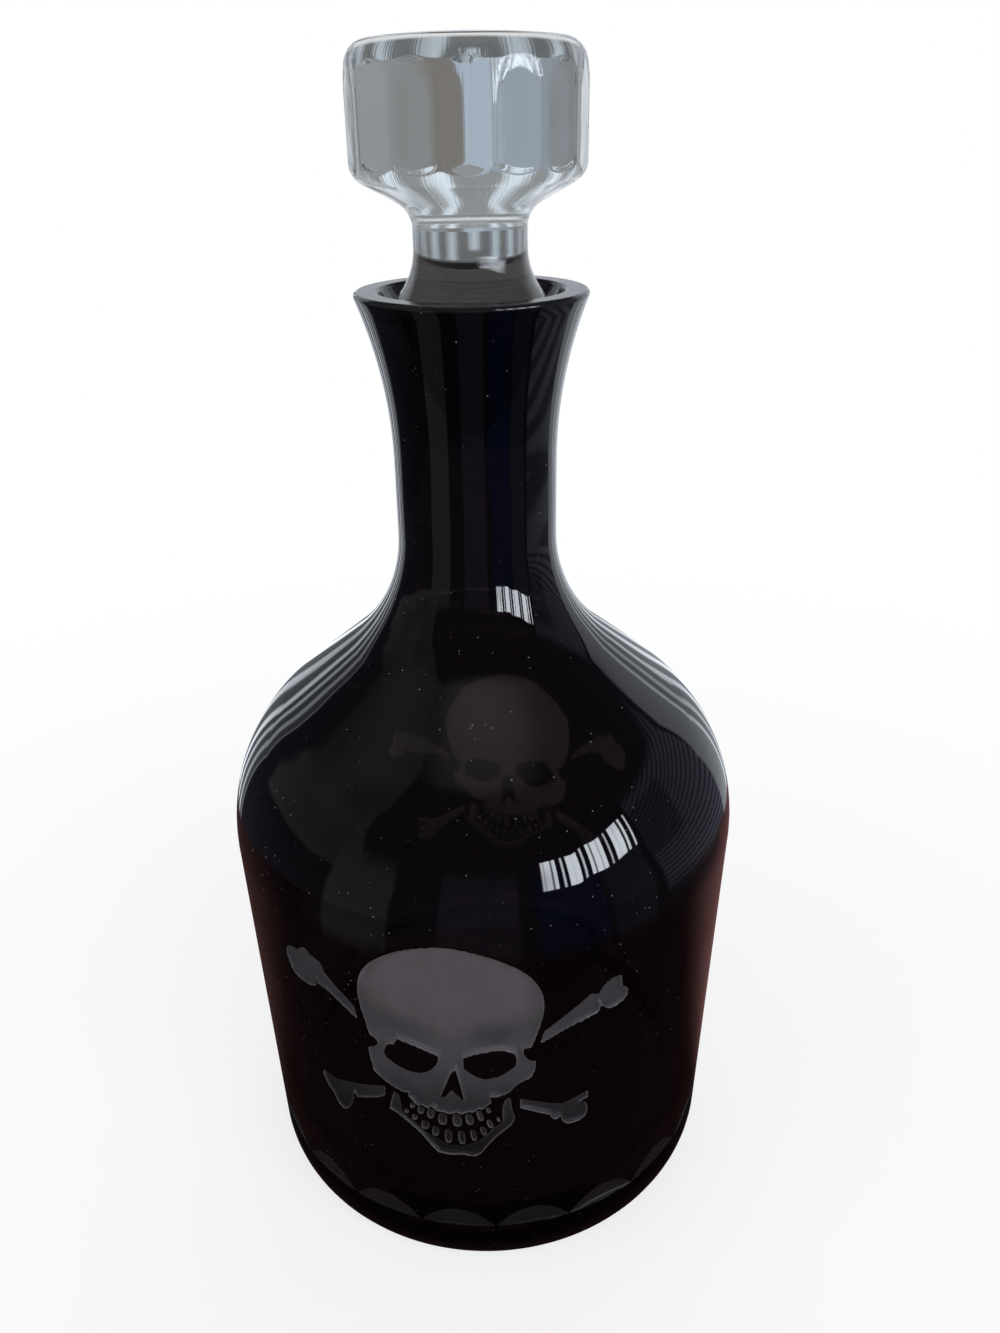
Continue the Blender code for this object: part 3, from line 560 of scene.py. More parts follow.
def cut_heel(bottle, place, band_low):
    """Wall under the figure, the ring of flat heel cuts, their ledge and the foot.

    A cut is a plane that leans in towards the foot: at an angle from its middle it stands at its reach over
    the angle's cosine. The glass keeps the lesser of that and the wall's radius. Rows follow the edge where
    the two are equal, so that it stays sharp.
    """
    def wall(height):
        return wall_radius(bottle, place, height)

    pitch = tau / bottle.heel_cuts
    half = np.array((0.0, 0.20, 0.40, 0.58, 0.74, 0.86, 0.94, 0.985)) * pitch / 2
    angles = columns_round(bottle.heel_cuts, half)
    cosine = np.cos(from_nearest(angles, pitch))
    ledge, least, tall = bottle.ledge_height, bottle.ledge_least, bottle.cut_height
    wall_low = float(wall(ledge))
    wall_rise = (float(wall(ledge + tall)) - wall_low) / tall
    reach = (wall_low + least) * cos(pitch / 2)
    lean = (wall_low + wall_rise * tall - wall_low * cos(pitch / 2)) / tall
    crease = ledge + np.maximum((wall_low * cosine - reach) / (lean - wall_rise * cosine), LEAST_CUT)
    wall_top = band_low - UNDER_BAND
    wall_heights = wall_top + (crease + EDGE_LINE - wall_top) * rows(0.0, 0.25, 0.5, 0.75, 1.0)
    cut_rows = rows(0.0, 0.04, 0.25, 0.5, 0.75, 0.96, 1.0)
    cut_heights = crease + (ledge - crease) * cut_rows
    cut_radii = np.minimum((reach + lean * (cut_heights - ledge)) / cosine, wall(cut_heights) - least)
    cut_radii[0] = wall(cut_heights[0]) - least / 2
    ledge_radii = np.maximum(wall_low - EDGE_LINE * rows(1.0, 0.25, 0.0),
                             cut_radii[-1] + rows(0.2, 0.6, 1.0) * (wall_low - cut_radii[-1]))
    ledge_heights = ledge - EDGE_LINE * rows(0.0, 0.25, 1.0)
    foot = foot_path(bottle)
    all_round = np.ones(len(angles))
    radii = np.concatenate((wall(wall_heights), cut_radii, ledge_radii, foot[:, :1] * all_round))
    heights = np.concatenate((wall_heights, cut_heights, ledge_heights * all_round, foot[:, 1:] * all_round))
    cut = np.arange(len(heights))[:, None] - len(wall_heights)
    satin = ((cut > 0) & (cut < len(cut_rows)) & (crease > ledge + 0.0001)).astype(float)
    return block(angles, radii, heights, etched=-FAR_FROM_FIGURE, coat=1.0, shade=1.0, satin=satin)


def corners(*numbers):
    """Faces from the point numbers at their first corners, their second corners and so on."""
    return np.stack(np.broadcast_arrays(*numbers), axis=-1).reshape(-1, len(numbers)).tolist()


def closed_turning(name, blocks, first_height, last_height):
    """Close blocks of rings into one mesh, round a first and a last point on the axis.

    A point of a ring is (radius cos angle, radius sin angle, height). Rings of a block are joined by
    four-sided faces, and two blocks by triangles: each edge of one ring goes to the last point of the other
    ring that comes before the edge's end.
    """
    points = [[[0.0, 0.0, first_height]]]
    faces = []
    readings = {key: [value[0, :1]] for key, value in blocks[0].readings.items()}
    start = 1
    previous = None
    for part in blocks:
        places = part.radii[..., None] * directions(part.angles + FRONT)
        points.append(np.dstack((places, part.heights)).reshape(-1, 3))
        for key, value in part.readings.items():
            readings[key].append(value.ravel())
        index = start + np.arange(part.radii.size).reshape(part.radii.shape)
        beside = np.roll(index, -1, axis=1)
        faces += corners(index[:-1], index[1:], beside[1:], beside[:-1])
        faces += sewn(previous, (index[0], part.angles)) if previous else corners(0, index[0], beside[0])
        previous = (index[-1], part.angles)
        start += index.size
    points.append([[0.0, 0.0, last_height]])
    faces += corners(index[-1], start, beside[-1])
    mesh = bpy.data.meshes.new(name)
    mesh.from_pydata(np.concatenate(points), [], faces)
    for key, values in readings.items():
        values.append(part.readings[key][-1:, 0])
        attribute = mesh.attributes.new(key, "FLOAT", "POINT")
        attribute.data.foreach_set("value", np.concatenate(values).astype(np.float32))
    mesh.shade_smooth()
    mesh.validate()
    return in_scene(name, mesh)


def sewn(upper, lower):
    """Triangles between two rings, each given as point numbers and rising angles from the same start."""
    (upper_points, upper_angles), (lower_points, lower_angles) = upper, lower
    upper_ends = np.append(upper_angles, upper_angles[0] + tau)
    lower_ends = np.append(lower_angles, lower_angles[0] + tau)
    below = np.searchsorted(lower_ends, upper_ends[1:], side="right") - 1
    above = np.searchsorted(upper_ends, lower_ends[1:], side="left") - 1
    return (corners(upper_points, lower_points[below % len(lower_points)], np.roll(upper_points, -1))
            + corners(upper_points[above % len(upper_points)], lower_points, np.roll(lower_points, -1)))


def in_scene(name, data):
    """New object in the scene from its mesh, lamp or camera."""
    made = bpy.data.objects.new(name, data)
    bpy.context.scene.collection.objects.link(made)
    return made


def stopper_path(size, bottle):
    """Path of the stopper from the dome down to the plug's end, heights counted from the seat's top.

    The knob's side draws in towards its upper edge, by the ease times one less e to the power of minus the
    square of the height there over the ease's height. After the path come the heights of the dome's top, of
    the plug's end and of the lowest point that a flat cut may reach.
    """
    plug_radius = bottle.seat_radius - size.clearance
    plug_length = bottle.seat_length - size.end_clearance
    plug_end = plug_radius - bottle.seat_taper * plug_length
    flare_across = size.waist_radius + size.flare_round
    flare_top = size.waist_radius + size.flare_round * (1 - cos(size.flare_angle))
    waist = (plug_radius - flare_top) / tan(size.flare_angle) + size.flare_round * sin(size.flare_angle)
    hollow = (size.waist_radius + size.hollow, waist + size.waist_length)
    under_across = size.knob_radius - size.under_round
    under = (under_across, height_above(hollow, size.hollow, under_across, size.under_round, size.slope))
    top = (size.knob_radius - size.top_round, under[1] + size.knob_side)
    drop = sqrt((size.dome - size.top_round) ** 2 - top[0] ** 2)
    dome = (0.0, top[1] - drop)
    dome_turn = atan2(drop, top[0])
    under_turn = crossing_tangent(under, size.under_round, hollow, size.hollow)
    fine = radians(30.0)
    upper_edge = joined(arc(top, size.top_round, dome_turn, fine, 8)[1:],
                        arc(top, size.top_round, fine, 0.0, 18)[1:])
    lower_edge = joined(arc(under, size.under_round, 0.0, -fine, 18),
                        arc(under, size.under_round, -fine, under_turn, 5)[1:])
    hollow_arc = arc(hollow, size.hollow, pi + under_turn, pi, 10)
    flare = arc((flare_across, waist), size.flare_round, pi, pi + size.flare_angle, 10)
    plug_top = (plug_radius, 0.0)
    plug_foot = (plug_end, size.bevel - plug_length)
    line = size.bevel / 4
    bevel_end = plug_end - size.bevel
    end = [(across, -plug_length) for across in (bevel_end, bevel_end - line, plug_end / 2)]
    path = joined(arc(dome, size.dome, pi / 2, dome_turn, 8)[1:], upper_edge, 8, lower_edge, 4, hollow_arc, 4,
                  flare, straight(flare[-1], plug_top, 3),
                  [(plug_radius - line / 2, line), plug_top, (plug_radius - line / 8, -line)],
                  straight(plug_top, plug_foot, 6), [plug_foot], end)
    above = np.maximum(path[:, 1] - top[1] + size.ease_height, 0.0) / size.ease_height
    path[:, 0] *= 1 - size.ease / size.knob_radius * (1 - np.exp(-above ** 2))
    return path, dome[1] + size.dome, -plug_length, hollow[1]


def knob_angles(size):
    """Columns round the stopper, close at the edges of the cuts, and each one's angle from a cut's middle.

    A cut ends sideways where its plane, at its reach over the angle's cosine, meets the knob. The mould's two
    seams have narrow columns of their own.
    """
    pitch = tau / size.cuts
    edge = acos((size.knob_radius - size.cut_depth) / size.knob_radius)
    half = np.append(edge * np.array((0.0, 0.16, 0.32, 0.48, 0.63, 0.77, 0.87, 0.93, 0.97, 1.0)),
                     edge + (pitch / 2 - edge) * np.array((0.25, 0.6)))
    seam = size.seam_place + np.array((-0.015, -0.009, -0.004, 0.0, 0.004, 0.009, 0.015))
    seams = np.append(seam, seam + pi) % tau
    angles = np.unique(np.append(columns_round(size.cuts, half), seams))
    return angles, from_nearest(angles, pitch)


def softer_minimum(first, second, softness):
    """Lesser of two lengths, rounded off where they are about equal by a blend less a small parabola."""
    blend = np.clip(0.5 + 0.5 * (second - first) / softness, 0.0, 1.0)
    return second * (1 - blend) + first * blend - softness * blend * (1 - blend)


class Value:
    """Socket of a shader node. Arithmetic on it adds Math nodes."""

    def __init__(self, shading, socket):
        self.shading = shading
        self.socket = socket

    def output(self, name):
        """Another output of the same node."""
        return Value(self.shading, self.socket.node.outputs[name])

    def maths(self, operation, other=0.0):
        """Math node of this value and another."""
        return self.shading.node("Math", {"operation": operation}, {0: self, 1: other})

    def __add__(self, other):
        return self.maths("ADD", other)

    __radd__ = __add__

    def __sub__(self, other):
        return self.maths("SUBTRACT", other)

    def __rsub__(self, other):
        return self.shading.node("Math", {"operation": "SUBTRACT"}, {0: other, 1: self})

    def __mul__(self, other):
        return self.maths("MULTIPLY", other)

    __rmul__ = __mul__

    def step(self, low, high, start=0.0, end=1.0):
        """Smooth step from start to end as the value goes from low to high."""
        return self.shading.node("MapRange", {"interpolation_type": "SMOOTHSTEP"},
                                 {0: self, 1: low, 2: high, 3: start, 4: end})

    def band(self, low, high, soft):
        """1 where the value is between two limits and 0 outside them, with soft edges."""
        return self.step(low - soft, low) * self.step(high, high + soft, 1.0, 0.0)

    def blend(self, first, second):
        """Colour that goes from a first to a second one with this value."""
        return self.shading.node("Mix", {"data_type": "RGBA"},
                                 {0: self, 6: opaque(first), 7: opaque(second)}).output(2)

    def times(self, tone):
        """Colour made lighter or darker by this value, which may be above 1."""
        return self.shading.node("VectorMath", {"operation": "SCALE"}, {0: tone, "Scale": self})

    def mix(self, first, second):
        """Shader that goes from a first to a second one with this value."""
        return self.shading.node("MixShader", None, {0: self, 1: first, 2: second})

    def noise(self, scale, detail=2.0, roughness=0.5):
        """Noise from 0 to 1 over these coordinates, with so many features to a metre."""
        return self.shading.node("TexNoise", {"noise_dimensions": "3D"}, {
            "Vector": self, "Scale": scale, "Detail": detail, "Roughness": roughness})

    def lines(self, scale):
        """Noise from 0 to 1 along this value alone."""
        return self.shading.node("TexNoise", {"noise_dimensions": "1D"}, {"W": self, "Scale": scale})

    def mapped(self, turned=(0.0, 0.0, 0.0), scale=(1.0, 1.0, 1.0)):
        """These coordinates turned and stretched."""
        return self.shading.node("Mapping", None, {"Vector": self, "Rotation": turned, "Scale": scale})

    def apart(self):
        """The three parts of these coordinates."""
        x = self.shading.node("SeparateXYZ", None, {0: self})
        return x, x.output("Y"), x.output("Z")

    def bump(self, strength, distance, normal=None):
        """Normal raised by this value from 0 to 1, at most a distance in metres."""
        return self.shading.node("Bump", None, {
            "Height": self, "Strength": strength, "Distance": distance, "Normal": normal})


class Shading:
    """Nodes of one material or world."""

    def __init__(self, tree):
        self.tree = tree
        tree.nodes.clear()

    def node(self, kind, settings=None, values=None):
        """Add a node: its settings first, then the value or link of its sockets. Returns its first output."""
        made = self.tree.nodes.new("ShaderNode" + kind)
        for name, setting in (settings or {}).items():
            setattr(made, name, setting)
        for name, value in (values or {}).items():
            if isinstance(value, Value):
                self.tree.links.new(value.socket, made.inputs[name])
            elif value is not None:
                made.inputs[name].default_value = value
        return Value(self, made.outputs[0]) if made.outputs else None

    def coordinates(self, kind):
        """Coordinates on the piece, or the direction in the world."""
        return self.node("TexCoord").output(kind)

    def readings(self, *names):
        """What the mesh says at each point under some names."""
        return [self.node("Attribute", {"attribute_name": name, "attribute_type": "GEOMETRY"}).output("Fac")
                for name in names]

    def principled(self, tone, roughness, through=0.0, normal=None, specular=0.5):
        """Principled shader that lets a share of the light through."""
        return self.node("BsdfPrincipled", None, {
            "Base Color": opaque(tone), "Roughness": roughness, "IOR": 1.5, "Transmission Weight": through,
            "Specular IOR Level": specular, "Normal": normal})

    def glow(self, kind, tone, strength=1.0):
        """Light of one colour: an Emission in a material, a Background in the world."""
        return self.node(kind, None, {"Color": opaque(tone), "Strength": strength})

    def by_ray(self, plain, mirrored, through, seen):
        """Shader for matt surfaces, with others for what is mirrored, seen through glass and seen plainly."""
        rays = self.node("LightPath")
        shader = rays.output("Is Glossy Ray").mix(plain, mirrored)
        shader = rays.output("Is Transmission Ray").mix(shader, through)
        return rays.output("Is Camera Ray").mix(shader, seen)

    def surface(self, shader, kind="Material"):
        """Send a shader to the output."""
        self.node("Output" + kind, None, {"Surface": shader})


def opaque(tone):
    """Colour with full alpha, or a socket as it is."""
    return tone if isinstance(tone, Value) else (*tone, 1.0)


def dimmed(tone, *factors):
    """Plain colour times one factor, or times one for each of its three parts."""
    return [part * factor for part, factor in zip(tone, factors * 3)]


def new_material(name):
    """Empty node material and its shading."""
    material = bpy.data.materials.new(name)
    material.use_nodes = True
    return material, Shading(material.node_tree)


def black_glass(colours):
    """Polished clear glass in a dark outer glass, with a matt floor where the figure is cut through it.

    Clear glass shows where the reading "coat" is 0, and the figure where "etched", the distance into it in
    metres, is above zero. The figure's floor has painted shade from the reading "shade", and a painted
    highlight along its cut edge.
    """
    material, shading = new_material("black_glass_with_etching")
    place = shading.coordinates("Object")
    distance, coat, shade, satin = shading.readings("etched", "coat", "shade", "satin")
    figure = distance.step(-0.00004, 0.00004)
    matt = figure + (1 - figure) * satin * 0.10

    cloud = place.noise(38.0, 3.0, 0.55)
    wipe = place.mapped((0.3, 0.1, 0.5), (260.0, 260.0, 22.0)).noise(1.0, 3.0, 0.6)
    roughness = 0.012 + cloud.step(0.45, 0.8) * 0.020 + wipe.step(0.55, 0.85) * 0.018 + satin * 0.09
    dark = cloud.step(0.3, 0.7).blend(colours.coat, dimmed(colours.coat, 1.25))
    wave = place.noise(26.0, 1.5, 0.4) + place.noise(75.0, 1.0, 0.4) * 0.12
    polished = shading.principled(coat.blend(colours.inner, dark), roughness, 1.0, wave.bump(0.50, 0.0010))

    grain = place.noise(5200.0, 2.0, 0.7)
    mottle = place.noise(420.0, 4.0, 0.6)
    streak = place.mapped(scale=(900.0, 900.0, 130.0)).noise(1.0, 3.0, 0.6)
    tone = mottle.step(0.3, 0.7) * 0.5 + streak.step(0.3, 0.7) * 0.3 + grain * 0.2
    # The reading "shade" is painted shade: the floor's colour is scaled by it and turns cooler where it is
    # low.
    painted_shade_tint = shade.step(0.55, 1.0).blend(dimmed(colours.etched, 0.92, 1.0, 1.04), colours.etched)
    floor = ((0.88 + 0.20 * tone) * shade).blend((0.0, 0.0, 0.0), painted_shade_tint)
    # Painted highlight: the floor turns to a lighter colour close to the figure's cut edge.
    edge = distance.step(0.00005, 0.00024, 1.0, 0.0)
    carved = ((grain * 0.6 + mottle * 0.4) * figure).bump(0.5, 0.00008)
    etched = shading.principled((edge * 0.8).blend(floor, colours.painted_edge_highlight), 0.52 + 0.14 * grain, 0.80,
                                carved, specular=0.12)

    speck_size = shading.node("TexVoronoi", {"feature": "F1"}, {"Vector": place, "Scale": 620.0})
    sparse = place.noise(55.0).step(0.36, 0.60)
    patchy = place.noise(300.0, 0.0).step(0.46, 0.58)
    settled = place.apart()[2].step(0.04, 0.10, 0.35, 1.0)
    specks = speck_size.step(0.05, 0.10, 1.0, 0.0) * sparse * patchy * coat * settled
    shading.surface((specks * 0.45).mix(matt.mix(polished, etched), shading.principled(colours.dust, 0.9)))
    return material


def clear_glass(colours):
    """Clear pressed glass with fine striae, and ground matt glass where the reading "ground" is 1."""
    material, shading = new_material("clear_glass_with_ground_plug")
    place = shading.coordinates("Object")
    ground, cut = shading.readings("ground", "cut")
    x, y, _ = place.apart()
    stria = x.maths("ARCTAN2", y).lines(46.0)
    wave = place.noise(140.0, 1.5, 0.4)
    grain = place.noise(4200.0, 2.0, 0.7)
    fleck = place.noise(2400.0, 2.0, 0.6)
    smear = place.noise(90.0, 3.0, 0.6)
    tint = smear.step(0.35, 0.75).blend(colours.clear, dimmed(colours.clear, 0.985))
    speckle = fleck.step(0.35, 0.65).blend(dimmed(colours.ground, 0.60), colours.ground)
    roughness = 0.006 + smear.step(0.5, 0.85) * 0.03 + ground * (0.34 + 0.12 * grain)
    fine = (stria * ((1 - ground) * (1 - cut))).bump(1.0, 0.00002)
    normal = (wave * (1 - ground) + grain * ground * 0.15).bump(0.25, 0.00015, fine)
    clear = shading.principled(ground.blend(tint, speckle), roughness, 1.0, normal)
    shading.surface((ground * 0.75).mix(clear, shading.principled(speckle, 0.6, 0.05, normal)))
    return material


def round_from_camera(place):
    """Angles of a direction or place round from the camera's side and round from behind, and its height.

    Both angles rise towards the right. The last value is the place itself, turned so that -Y is that side.
    """
    turned = place.mapped((0.0, 0.0, -CAMERA_ROUND))
    x, y, z = turned.apart()
    return x.maths("ARCTAN2", 0 - y), x.maths("ARCTAN2", y), z, turned


def dim_front(angle, rise, look):
    """Colour of the dark front of the room, by the angle round from the camera's side and the rise.

    It has dim upright bands low down and a dim wall with level ribs at the right, darker in the middle.
    """
    tones = look.shade
    low = rise.step(0.06, 0.34, 1.0, 0.0)
    for start, end, tone in ((-1.12, -0.68, look.wall), (-0.30, 0.20, look.violet), (0.36, 0.80, look.blue),
                             (0.88, 1.20, look.dusk)):
        tones = (angle.band(start, end, 0.04) * low).blend(tones, tone)
    leaning = rise - (angle - 1.66) * rise.step(-0.3, 0.3, 0.0, 0.35)
    ribs = (leaning * 143.0).maths("SINE").step(-0.7, 0.7, 0.32, 1.0)
    hidden = angle.band(1.30, 1.62, 0.06) * rise.band(-0.06, 0.34, 0.05)
    wall = (angle + rise * 0.10).band(1.30, 2.12, 0.04) * rise.band(-0.40, 0.42, 0.10)
    return (wall * ribs * (1 - 0.55 * hidden)).blend(tones, look.ribs)


def mirrored_surroundings(angle, room, look):
    """Colour mirrored from round the decanter, by the angle round from the camera's side: the room's dark
    front, and behind the decanter bright upright slats to its left and right."""
    aside = angle.maths("ABSOLUTE")
    past = aside - 2.494
    right = angle.step(-0.5, 0.5, 38.0, 56.0)
    wave = (past.maths("MINIMUM") * 64.0 + past.maths("MAXIMUM") * right).maths("COSINE")
    uneven = (angle * 17.0).maths("SINE").step(-1.0, 1.0, 0.75, 1.25)
    slats = wave.step(-0.35, 1.0) * uneven
    gaps = angle.step(-0.5, 0.5, 0.24, 0.50)
    plain = angle.band(2.14, 2.36, 0.03)
    lit = (gaps + (1.75 - gaps) * slats) * (1 - plain) + 0.72 * plain
    slatted = aside.step(2.96, 3.03).blend(lit.times(look.panels), dimmed(look.panels, 0.80))
    return (angle - 2.13).maths("MAXIMUM", -2.20 - angle).step(0.0, 0.03).blend(room, slatted)


def bars_behind(angle):
    """1 on pale upright bars 14.4 degrees apart, and 0 between them, by the angle round from behind.

    Every other bar is a little dimmer, and fine upright lines run through all of them.
    """
    wave = ((angle + 0.044) * 25.0).maths("COSINE")
    slow = (angle * 12.5).maths("COSINE")
    return wave.step(-0.3, 0.9) * (0.95 + slow * 0.08) * angle.lines(24.0).step(0.3, 0.65, 0.82, 1.20)


def pale_floor(look):
    """Plain pale floor. The camera sees it nearly white with the decanter's shadow, and the glass mirrors it
    dark and warm near the foot and pale further off, as in the photograph."""
    material, shading = new_material("pale_floor")
    place = shading.coordinates("Object")
    away = shading.node("VectorMath", {"operation": "LENGTH"}, {0: place}).output("Value")
    grain = place.noise(60.0, 3.0, 0.6)
    lit = shading.node("BsdfDiffuse", None, {"Color": grain.blend(dimmed(look.floor, 0.985), look.floor)})
    by_camera = away.step(0.05, 0.40, 0.74, 1.0).mix(lit, shading.glow("Emission", (1.0, 1.0, 1.0)))

    angle, behind, _, turned = round_from_camera(place)
    from_front = shading.node("VectorMath", {"operation": "DISTANCE"}, {0: turned, 1: (0.0, -0.09, 0.0)})
    room = dim_front(angle, shading.node("Math", {"operation": "DIVIDE"}, {0: -0.10, 1: away}), look)
    warmer = angle.maths("ABSOLUTE").step(1.45, 1.95) * angle.step(-0.5, 0.5, 2.5, 9.0)
    front = away.step(0.13, 0.20) * angle.band(-1.25, 1.95, 0.10) * 0.65
    near = front.blend((1 + warmer).times(look.table), room)
    far_off = from_front.output("Value").step(0.265, 0.285)
    mirrored = far_off.blend(near, mirrored_surroundings(angle, room, look))
    hidden = behind.band(-0.12, 0.02, 0.06) * away.step(1.1, 1.6, 1.0, 0.0)
    far = (bars_behind(behind) * (1 - hidden)).blend(dimmed(look.behind, 0.60), dimmed(look.bars, 0.60))
    through = away.step(0.30, 0.50).blend(look.floor, far)
    mirrored, through = shading.glow("Emission", mirrored), shading.glow("Emission", through)
    shading.surface(shading.by_ray(lit, mirrored, through, by_camera))
    return material


def soft_room(world, look):
    """World: white to the camera, even light on matt surfaces, and in the glass a soft studio.

    The studio is told by a ray's angle round from the front and its rise. Mirrored, it has a dark front, a
    dim wall at the left, a brighter ceiling, a barred window at the front right, and slatted light panels at
    the back. Seen through clear glass it is grey with dim panes, and has pale upright bars higher up.
    """
    world.use_nodes = True
    shading = Shading(world.node_tree)
    direction = shading.coordinates("Generated")
    angle, behind, z, _ = round_from_camera(direction)
    around = mirrored_surroundings(angle, dim_front(angle, z, look), look)
    cloud = direction.noise(1.7) - 0.5
    rise = z + 0.15 * cloud
    wall = (angle + 0.4 * cloud).band(-1.95, -1.02, 0.08) * rise.band(0.02, 0.88, 0.04)
    wall = wall * cloud.step(-0.25, 0.2, 0.55, 1.0)
    mirrored = (rise.step(0.40, 0.55) * (1 - wall)).blend(wall.blend(around, look.wall), look.shade)
    mirrored = z.step(0.86, 0.98).blend(mirrored, (0.42, 0.40, 0.44))

    wave = (angle * 112.0).maths("SINE") + 1.1 * (angle * 31.0).maths("SINE")
    bars = wave.step(-0.8, 0.4) * cloud.step(-0.2, 0.2, 0.55, 1.1)
    sill = angle.step(0.66, 0.78, 0.015, 0.055) + angle.step(0.85, 1.15, 0.0, 0.05)
    window = angle.band(0.42, 1.19, 0.02) * (z - sill).band(0.0, 0.28, 0.01) * bars * look.window

    panes = (behind.band(-0.150, 0.055, 0.025) + behind.band(-0.30, -0.215, 0.05)
             + behind.band(-0.52, -0.35, 0.10) * 0.6)
    corner = behind.step(0.04, 0.10) * behind.step(0.22, 0.30, 1.0, 0.0)
    plain = corner.blend(behind.step(0.18, 0.60, 0.95, 1.28).times(look.behind), (0.190, 0.178, 0.162))
    low = panes.blend(plain, behind.step(-0.24, -0.18, 0.80, 1.05).times(look.pane))
    lobes = bars_behind(behind) * (1 - behind.band(-0.12, 0.02, 0.06))
    lobes = lobes * behind.band(-0.75, 0.60, 0.15)
    through = z.step(0.05, 0.11).blend(low, lobes.blend(dimmed(look.behind, 1.2), look.bars))

    even, studio, pane, seen_through, white = [shading.glow("Background", *light) for light in (
        ((0.96, 0.97, 1.0), look.light), (mirrored,), ((0.86, 0.92, 1.0), window), (through,),
        ((1.0, 1.0, 1.0),))]
    mirrored_room = shading.node("AddShader", None, {0: studio, 1: pane})
    shading.surface(shading.by_ray(even, mirrored_room, seen_through, white), "World")


def soft_lamp(name, place, aim_height, width, power):
    """Square area lamp that lights matt surfaces and stays out of the glass, aimed at a point of the axis."""
    light = bpy.data.lights.new(name, "AREA")
    light.size = width
    light.energy = power
    lamp = in_scene(name, light)
    lamp.location = place
    lamp.rotation_euler = (atan2(hypot(place[0], place[1]), place[2] - aim_height), 0.0,
                           atan2(-place[1], -place[0]) - pi / 2)
    lamp.visible_glossy = False
    lamp.visible_transmission = False


def photo_camera():
    """Camera at the photograph's place and viewing angle, for a 1000 by 1333 picture."""
    down, rolled, aside = 0.458904, -0.015407, 0.01703377
    camera = in_scene("photo_camera", bpy.data.cameras.new("photo_camera"))
    for name, value in (("lens", 30.233), ("sensor_width", 36.0), ("clip_start", 0.01), ("clip_end", 20.0)):
        setattr(camera.data, name, value)
    camera.matrix_world = (
        Matrix.Rotation(CAMERA_ROUND, 4, "Z") @ Matrix.Translation((0.000508, -0.216903, 0.228988))
        @ Matrix.Rotation(-aside, 4, "Z") @ Matrix.Rotation(pi / 2 - down, 4, "X")
        @ Matrix.Rotation(rolled, 4, "Z"))
    bpy.context.scene.camera = camera


class DECANTER_OT_bottle(Operator):
    """Build the black glass bottle with its heel cuts and the sunk figure on its front and back"""

    bl_idname = "decanter.bottle"
    bl_label = "Bottle"

    def execute(self, context):
        scene = context.scene
        bottle, figure = scene.decanter_bottle, scene.decanter_figure
        place = bottle_places(bottle)
        band_low = figure.chin - BELOW_CHIN
        band_high = figure.chin + figure.height + ABOVE_CROWN
        path, inner_rows = upper_path(bottle, place, band_high)
        radii, heights = path[:-1, :1], path[:-1, 1:]
        angles = np.arange(UPPER_COLUMNS) * tau / UPPER_COLUMNS
        dark = (np.arange(len(radii)) >= inner_rows).astype(float)[:, None]
        at_rim = (heights > place.rim - 1.2 * bottle.rim_round).astype(float)
        blocks = (block(angles, radii, heights, etched=-FAR_FROM_FIGURE, coat=dark, shade=1.0,
                        satin=at_rim * 0.8),
                  figure_band(bottle, place, figure, band_low, band_high), cut_heel(bottle, place, band_low))
        piece = closed_turning("bottle", blocks, bottle.base, bottle.kick)
        piece.data.materials.append(black_glass(scene.decanter_glass))
        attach(piece, "vessel")
        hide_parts("decanter_body")
        return {"FINISHED"}


class DECANTER_OT_stopper(Operator):
    """Build the clear glass stopper with its cut knob and ground plug"""

    bl_idname = "decanter.stopper"
    bl_label = "Stopper"

    def execute(self, context):
        scene = context.scene
        bottle, size = scene.decanter_bottle, scene.decanter_stopper
        seat = bottle_places(bottle).seat
        path, top, end, cuts_from = stopper_path(size, bottle)
        angles, from_middle = knob_angles(size)
        reach = (size.knob_radius - size.cut_depth) / np.cos(from_middle)
        radii, heights = path[:, :1], path[:, 1:]
        cut = ((heights > cuts_from) & (reach < radii)).astype(float)
        seam = size.seam * np.exp(-(from_nearest(angles - size.seam_place, pi) / SEAM_WIDTH) ** 2)
        knob = radii + seam * ramp((radii / size.knob_radius - 0.2) / 0.3)
        radii = np.where(heights > cuts_from, softer_minimum(knob, reach, size.softness), radii)
        ground = ramp(-heights / GROUND_FADE + 0.5)
        turned = (angles + size.turned) % tau
        order = np.argsort(turned)
        rings = block(turned[order], radii[:, order], heights + seat, ground=ground, cut=cut[:, order])
        piece = closed_turning("stopper_glass", (rings,), seat + top, seat + end)
        piece.data.materials.append(clear_glass(scene.decanter_glass))
        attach(piece, "stopper")
        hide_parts("stopper")
        return {"FINISHED"}


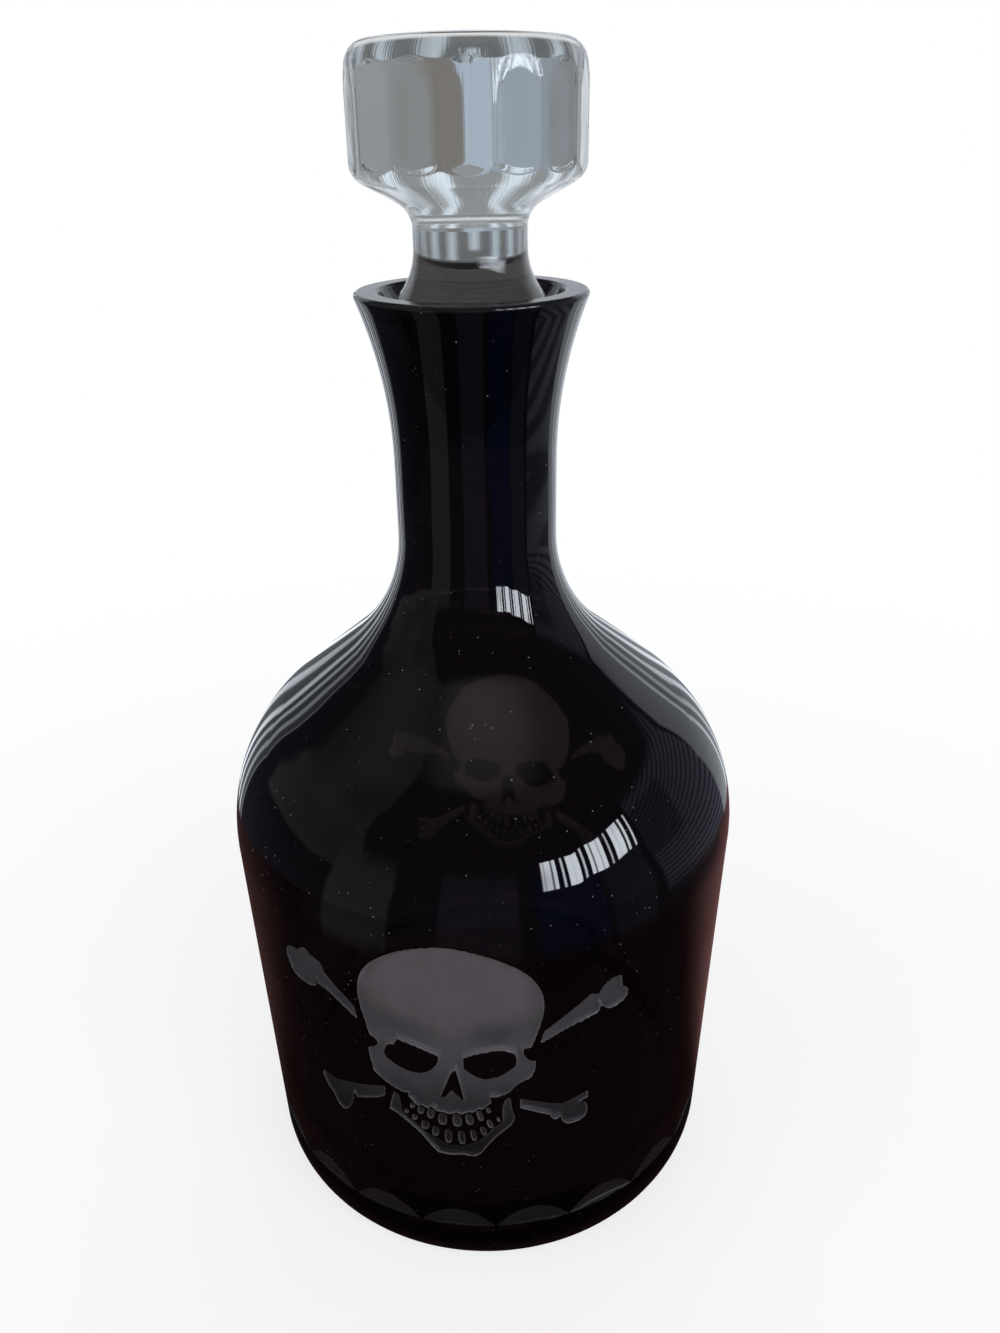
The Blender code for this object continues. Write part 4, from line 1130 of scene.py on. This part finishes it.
class DECANTER_OT_stage(Operator):
    """Set up the pale floor, the soft light and the camera"""

    bl_idname = "decanter.stage"
    bl_label = "Stage"

    def execute(self, context):
        look = context.scene.decanter_stage
        context.scene.view_settings.view_transform = "Standard"
        square = [(x * FLOOR_HALF, y * FLOOR_HALF, 0.0) for x, y in ((-1, -1), (1, -1), (1, 1), (-1, 1))]
        mesh = bpy.data.meshes.new("floor")
        mesh.from_pydata(square, [], [(0, 1, 2, 3)])
        floor = in_scene("floor", mesh)
        floor.location = (0.0, 0.0, -FLOOR_DROP)
        mesh.materials.append(pale_floor(look))
        context.scene.world = context.scene.world or bpy.data.worlds.new("soft_room")
        soft_room(context.scene.world, look)
        soft_lamp("lamp_front_right", (0.55, -0.60, 0.65), 0.10, 0.6, look.lamp * 2.2)
        soft_lamp("lamp_front_left", (-0.65, -0.45, 0.50), 0.10, 0.6, look.lamp)
        soft_lamp("lamp_back", (0.05, 0.75, 0.70), 0.12, 0.8, look.lamp * 1.5)
        photo_camera()
        return {"FINISHED"}


class DECANTER_PT_panel(Panel):
    """Buttons and sizes of the decanter"""

    bl_idname = "DECANTER_PT_panel"
    bl_label = "Skull decanter"
    bl_space_type = "VIEW_3D"
    bl_region_type = "UI"
    bl_category = "Decanter"

    def draw(self, context):
        for operator in OPERATORS:
            self.layout.operator(operator.bl_idname)
        for name in GROUPS:
            settings = getattr(context.scene, name)
            box = self.layout.box()
            box.label(text=name.replace("_", " ").capitalize())
            for key in settings.__annotations__:
                box.prop(settings, key)


OPERATORS = (DECANTER_OT_bottle, DECANTER_OT_stopper, DECANTER_OT_stage)
GROUPS = {
    "decanter_bottle": BottleSizes,
    "decanter_figure": FigureSizes,
    "decanter_stopper": StopperSizes,
    "decanter_glass": GlassColours,
    "decanter_stage": StageLook,
}


def register():
    """Register the settings, the operators and the panel."""
    for name, group in GROUPS.items():
        bpy.utils.register_class(group)
        setattr(bpy.types.Scene, name, PointerProperty(type=group))
    for kind in OPERATORS + (DECANTER_PT_panel,):
        bpy.utils.register_class(kind)


def unregister():
    """Take the settings, the operators and the panel away again."""
    for kind in (DECANTER_PT_panel,) + OPERATORS[::-1]:
        bpy.utils.unregister_class(kind)
    for name, group in GROUPS.items():
        delattr(bpy.types.Scene, name)
        bpy.utils.unregister_class(group)


def main():
    """Build the decanter and its stage."""
    register()
    bpy.ops.decanter.stage()
    bpy.ops.decanter.bottle()
    bpy.ops.decanter.stopper()


if __name__ == "__main__":
    main()
